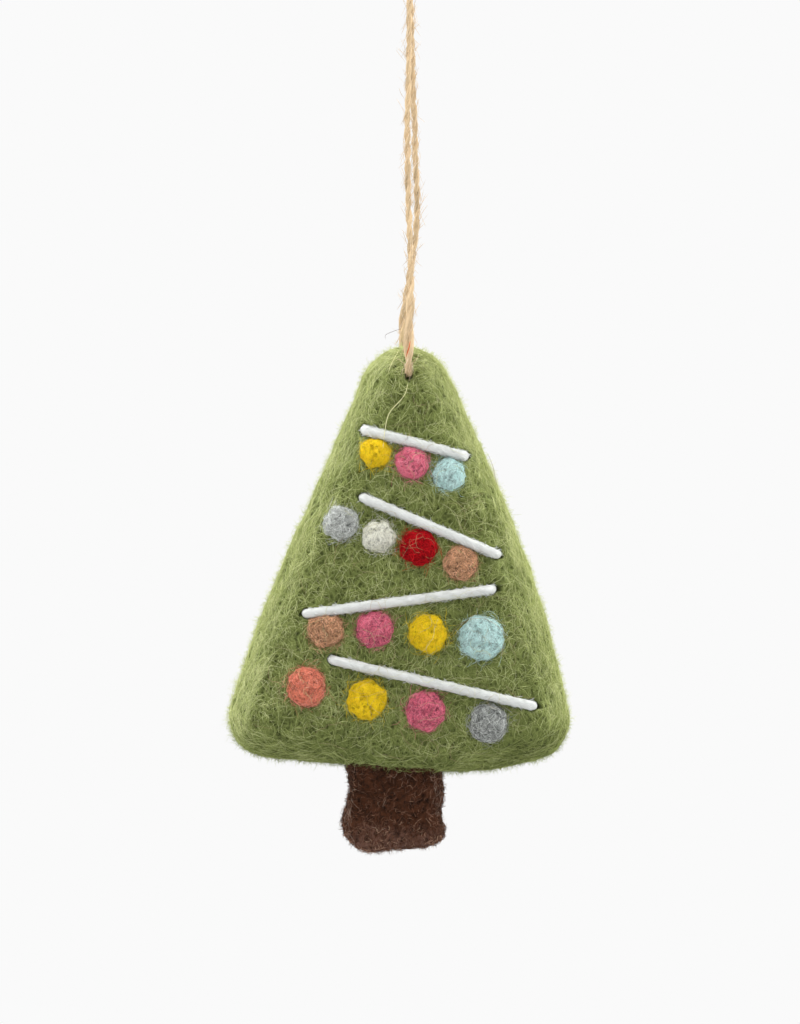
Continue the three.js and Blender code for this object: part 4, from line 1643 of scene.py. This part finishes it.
class FELTTREE_OT_hairs(bpy.types.Operator):
    """Lay the long loose hairs that cross the front of the tree"""

    bl_idname = "felttree.hairs"
    bl_label = "Stray hairs"

    LONG_STATIONS = 20
    BLUNT = 0.3  # these hairs keep their thickness nearly to their ends
    WANDERING = 230  # long curls over the front
    # Half thickness in millimetres, shade, and a route across and up from the hanging point
    ROUTES = (
        (
            0.08,
            1,
            ((-0.3, -77), (-1, -79.6), (-2.4, -81.4), (-4, -83.2), (-4.8, -85.6), (-5.4, -90.6)),
        ),
        (0.07, 1, ((-2, -70.4), (-2.8, -71.8), (-3.8, -73.8), (-4.4, -75.6))),
        (0.055, 0.9, ((2, -71), (1.6, -72), (1, -73.4))),
        (0.045, 0.15, ((15.4, -91.2), (16.4, -93.4), (16.9, -95.4), (17.6, -98.8))),
        (0.035, 0.4, ((1.2, -150.4), (2.8, -148.2), (4.8, -148.6), (5.6, -150.6), (4.2, -152.2))),
        (0.035, 0.4, ((-11, -133), (-9.4, -128.6), (-5.6, -127.4), (-3, -130), (-4, -134))),
        (0.035, 0.3, ((8.2, -128), (11, -124.6), (15, -124.2), (18.4, -127), (18, -132))),
    )

    def execute(self, context):
        crossed = [f"{node}_felt" for node in BAUBLES] + [f"{node}_yarn" for node in GARLANDS]
        pieces = [bpy.data.objects[name] for name in ("green_body", *crossed)]
        surface = Surface(*pieces)
        stops = [
            (0, (0.16, 0.1, 0.05)),
            (0.35, (0.46, 0.33, 0.19)),
            (0.7, (0.56, 0.56, 0.3)),
            (1, (0.95, 0.93, 0.52)),
        ]
        hair = fibre_material("stray_hairs", stops)
        batch = merged(self.placed_hairs(surface), self.wandering(surface))
        dressed(tubes("stray_hairs", *batch), TREE, hair)
        return {"FINISHED"}

    def placed_hairs(self, surface):
        paths = []
        for _, _, route in self.ROUTES:
            flat = smooth_path([(x, 0, z) for x, z in route], self.LONG_STATIONS) * MM
            path = surface.foremost(flat)[0]
            path[:, 1] += FRONT * 0.8 * MM
            paths.append(path)
        halves = np.array([row[0] for row in self.ROUTES]) * MM
        shades = np.array([row[1] for row in self.ROUTES])
        radii = tapered(halves, self.LONG_STATIONS, self.BLUNT)
        return np.array(paths), radii, even(shades, self.LONG_STATIONS)

    def wandering(self, surface):
        """Long curls that lie here and there over the front."""
        rng = np.random.default_rng(61)
        number = self.WANDERING
        stations = self.LONG_STATIONS
        starts, normals = surface.scatter(
            number, rng, lambda middles, normals: normals[:, 1] < -0.8
        )
        look = (0.12, (0.45, 0.8), (0.018, 0.032))
        paths, radii, ways = tangled(
            surface.foremost, starts, normals, (4, 10), 420, look, rng, stations, self.BLUNT
        )
        shades = even(rng.uniform(0.3, 0.9, number), stations)
        kept = np.abs(ways[..., 1]).min(axis=1) > 0.3  # those that never reach the edge
        return paths[kept], radii[kept], shades[kept]


# Stage


def seen_directly(recipe):
    """1 for the camera, in mirrors and through glass, and 0 for light that falls on things."""
    camera, mirrored, through = (
        recipe.add("ShaderNodeLightPath", output=f"Is {ray} Ray")
        for ray in ("Camera", "Glossy", "Transmission")
    )
    either = {"operation": "ADD", "use_clamp": True}
    return recipe.add("ShaderNodeMath", either, [camera, mirrored + through])


class FELTTREE_OT_stage(bpy.types.Operator):
    """Set up the camera, the pale floor and background, and the soft lights"""

    bl_idname = "felttree.stage"
    bl_label = "Stage"

    SENSOR = 36.0  # millimetres, along the picture's longer side
    AIM = Vector((-2 * MM, 0, -103 * MM))
    # Name, place in metres, side in metres and power in watts
    LAMPS = (
        ("left_softbox", (-0.6, 0.1, 0.05), 0.5, 3),
        ("right_softbox", (0.6, 0.1, 0.05), 0.5, 3.4),
        ("top_softbox", (0, -0.15, 0.5), 0.5, 2.6),
        ("front_softbox", (0, -0.9, 0.15), 0.7, 3),
    )
    WORLD_LIGHT = 0.5
    FLOOR_RADIUS = 3.2
    FLOOR_HEIGHT = -0.7
    FLOOR_PALENESS = 0.65  # share of the background's own colour in what the camera sees of it

    def execute(self, context):
        settings = context.scene.felted_tree.stage
        self.camera(context, settings)
        self.floor(context, opaque(settings.background))
        self.lamps(context)
        self.world(context, opaque(settings.background))
        context.scene.view_settings.view_transform = "Standard"
        return {"FINISHED"}

    def camera(self, context, settings):
        away = settings.picture_height * settings.lens / self.SENSOR
        place = self.AIM + Vector((0, -away, 0))
        bpy.ops.object.camera_add(location=place, rotation=(math.pi / 2, 0, 0))
        camera = context.object
        camera.data.lens = settings.lens
        camera.data.sensor_width = self.SENSOR
        camera.data.clip_start = 0.05
        camera.data.clip_end = 20
        context.scene.camera = camera

    def floor(self, context, background):
        """A round floor, nearly as pale as the background where the camera sees it."""
        paper = Recipe(bpy.data.materials.new("pale_paper"))
        matt = paper.add("ShaderNodeBsdfDiffuse", None, {"Color": opaque((0.85, 0.85, 0.85))})
        plain = paper.add("ShaderNodeEmission", None, {"Color": background, "Strength": 1.0})
        share = seen_directly(paper) * self.FLOOR_PALENESS
        shown = paper.add("ShaderNodeMixShader", None, [share, matt, plain])
        paper.add("ShaderNodeOutputMaterial", None, {"Surface": shown})
        bpy.ops.object.select_all(action="DESELECT")
        place = (0, 0, self.FLOOR_HEIGHT)
        bpy.ops.mesh.primitive_circle_add(
            vertices=96, radius=self.FLOOR_RADIUS, fill_type="NGON", location=place
        )
        floor = context.object
        floor.name = "floor"
        bpy.ops.object.transform_apply(location=True, rotation=True, scale=True)
        floor.data.materials.append(paper.owner)

    def lamps(self, context):
        for name, place, side, power in self.LAMPS:
            bpy.ops.object.light_add(type="AREA", location=place)
            lamp = context.object
            lamp.name = name
            lamp.data.size = side
            lamp.data.energy = power
            lamp.rotation_euler = (self.AIM - Vector(place)).to_track_quat("-Z", "Y").to_euler()

    def world(self, context, background):
        sky = Recipe(context.scene.world or bpy.data.worlds.new("room"))
        context.scene.world = sky.owner
        seen = seen_directly(sky)
        plain = sky.add("ShaderNodeBackground", None, {"Color": background, "Strength": 1.0})
        light = {"Color": (1, 1, 1, 1), "Strength": self.WORLD_LIGHT}
        soft = sky.add("ShaderNodeBackground", None, light)
        shown = sky.add("ShaderNodeMixShader", None, [seen, soft, plain])
        sky.add("ShaderNodeOutputWorld", None, {"Surface": shown})


# Panel and registration

STEPS = (
    FELTTREE_OT_stage,
    FELTTREE_OT_twine,
    FELTTREE_OT_body,
    FELTTREE_OT_fibres,
    FELTTREE_OT_trunk,
    FELTTREE_OT_garlands,
    FELTTREE_OT_baubles,
    FELTTREE_OT_hairs,
)


class FELTTREE_PT_panel(bpy.types.Panel):
    """Lists the steps that dress the tree, and their settings"""

    bl_label = "Felted tree"
    bl_idname = "FELTTREE_PT_panel"
    bl_space_type = "VIEW_3D"
    bl_region_type = "UI"
    bl_category = "Felted tree"

    def draw(self, context):
        for step in STEPS:
            self.layout.operator(step.bl_idname)
        settings = context.scene.felted_tree
        for name in FeltedTreeSettings.__annotations__:
            group = getattr(settings, name)
            box = self.layout.box()
            box.label(text=name.capitalize())
            for size in type(group).__annotations__:
                box.prop(group, size)


CLASSES = (
    FinishColours,
    TwineSettings,
    WoolSettings,
    TrunkSettings,
    BaubleSettings,
    YarnSettings,
    StageSettings,
    FeltedTreeSettings,
    *STEPS,
    FELTTREE_PT_panel,
)


def register():
    for item in CLASSES:
        bpy.utils.register_class(item)
    bpy.types.Scene.felted_tree = PointerProperty(type=FeltedTreeSettings)


def unregister():
    del bpy.types.Scene.felted_tree
    for item in reversed(CLASSES):
        bpy.utils.unregister_class(item)


def main():
    register()
    bpy.ops.object.select_all(action="DESELECT")
    bpy.ops.felttree.stage()
    bpy.ops.felttree.twine()
    bpy.ops.felttree.body()
    bpy.ops.felttree.fibres()
    bpy.ops.felttree.trunk()
    bpy.ops.felttree.garlands()
    bpy.ops.felttree.baubles()
    bpy.ops.felttree.hairs()


if __name__ == "__main__":
    main()
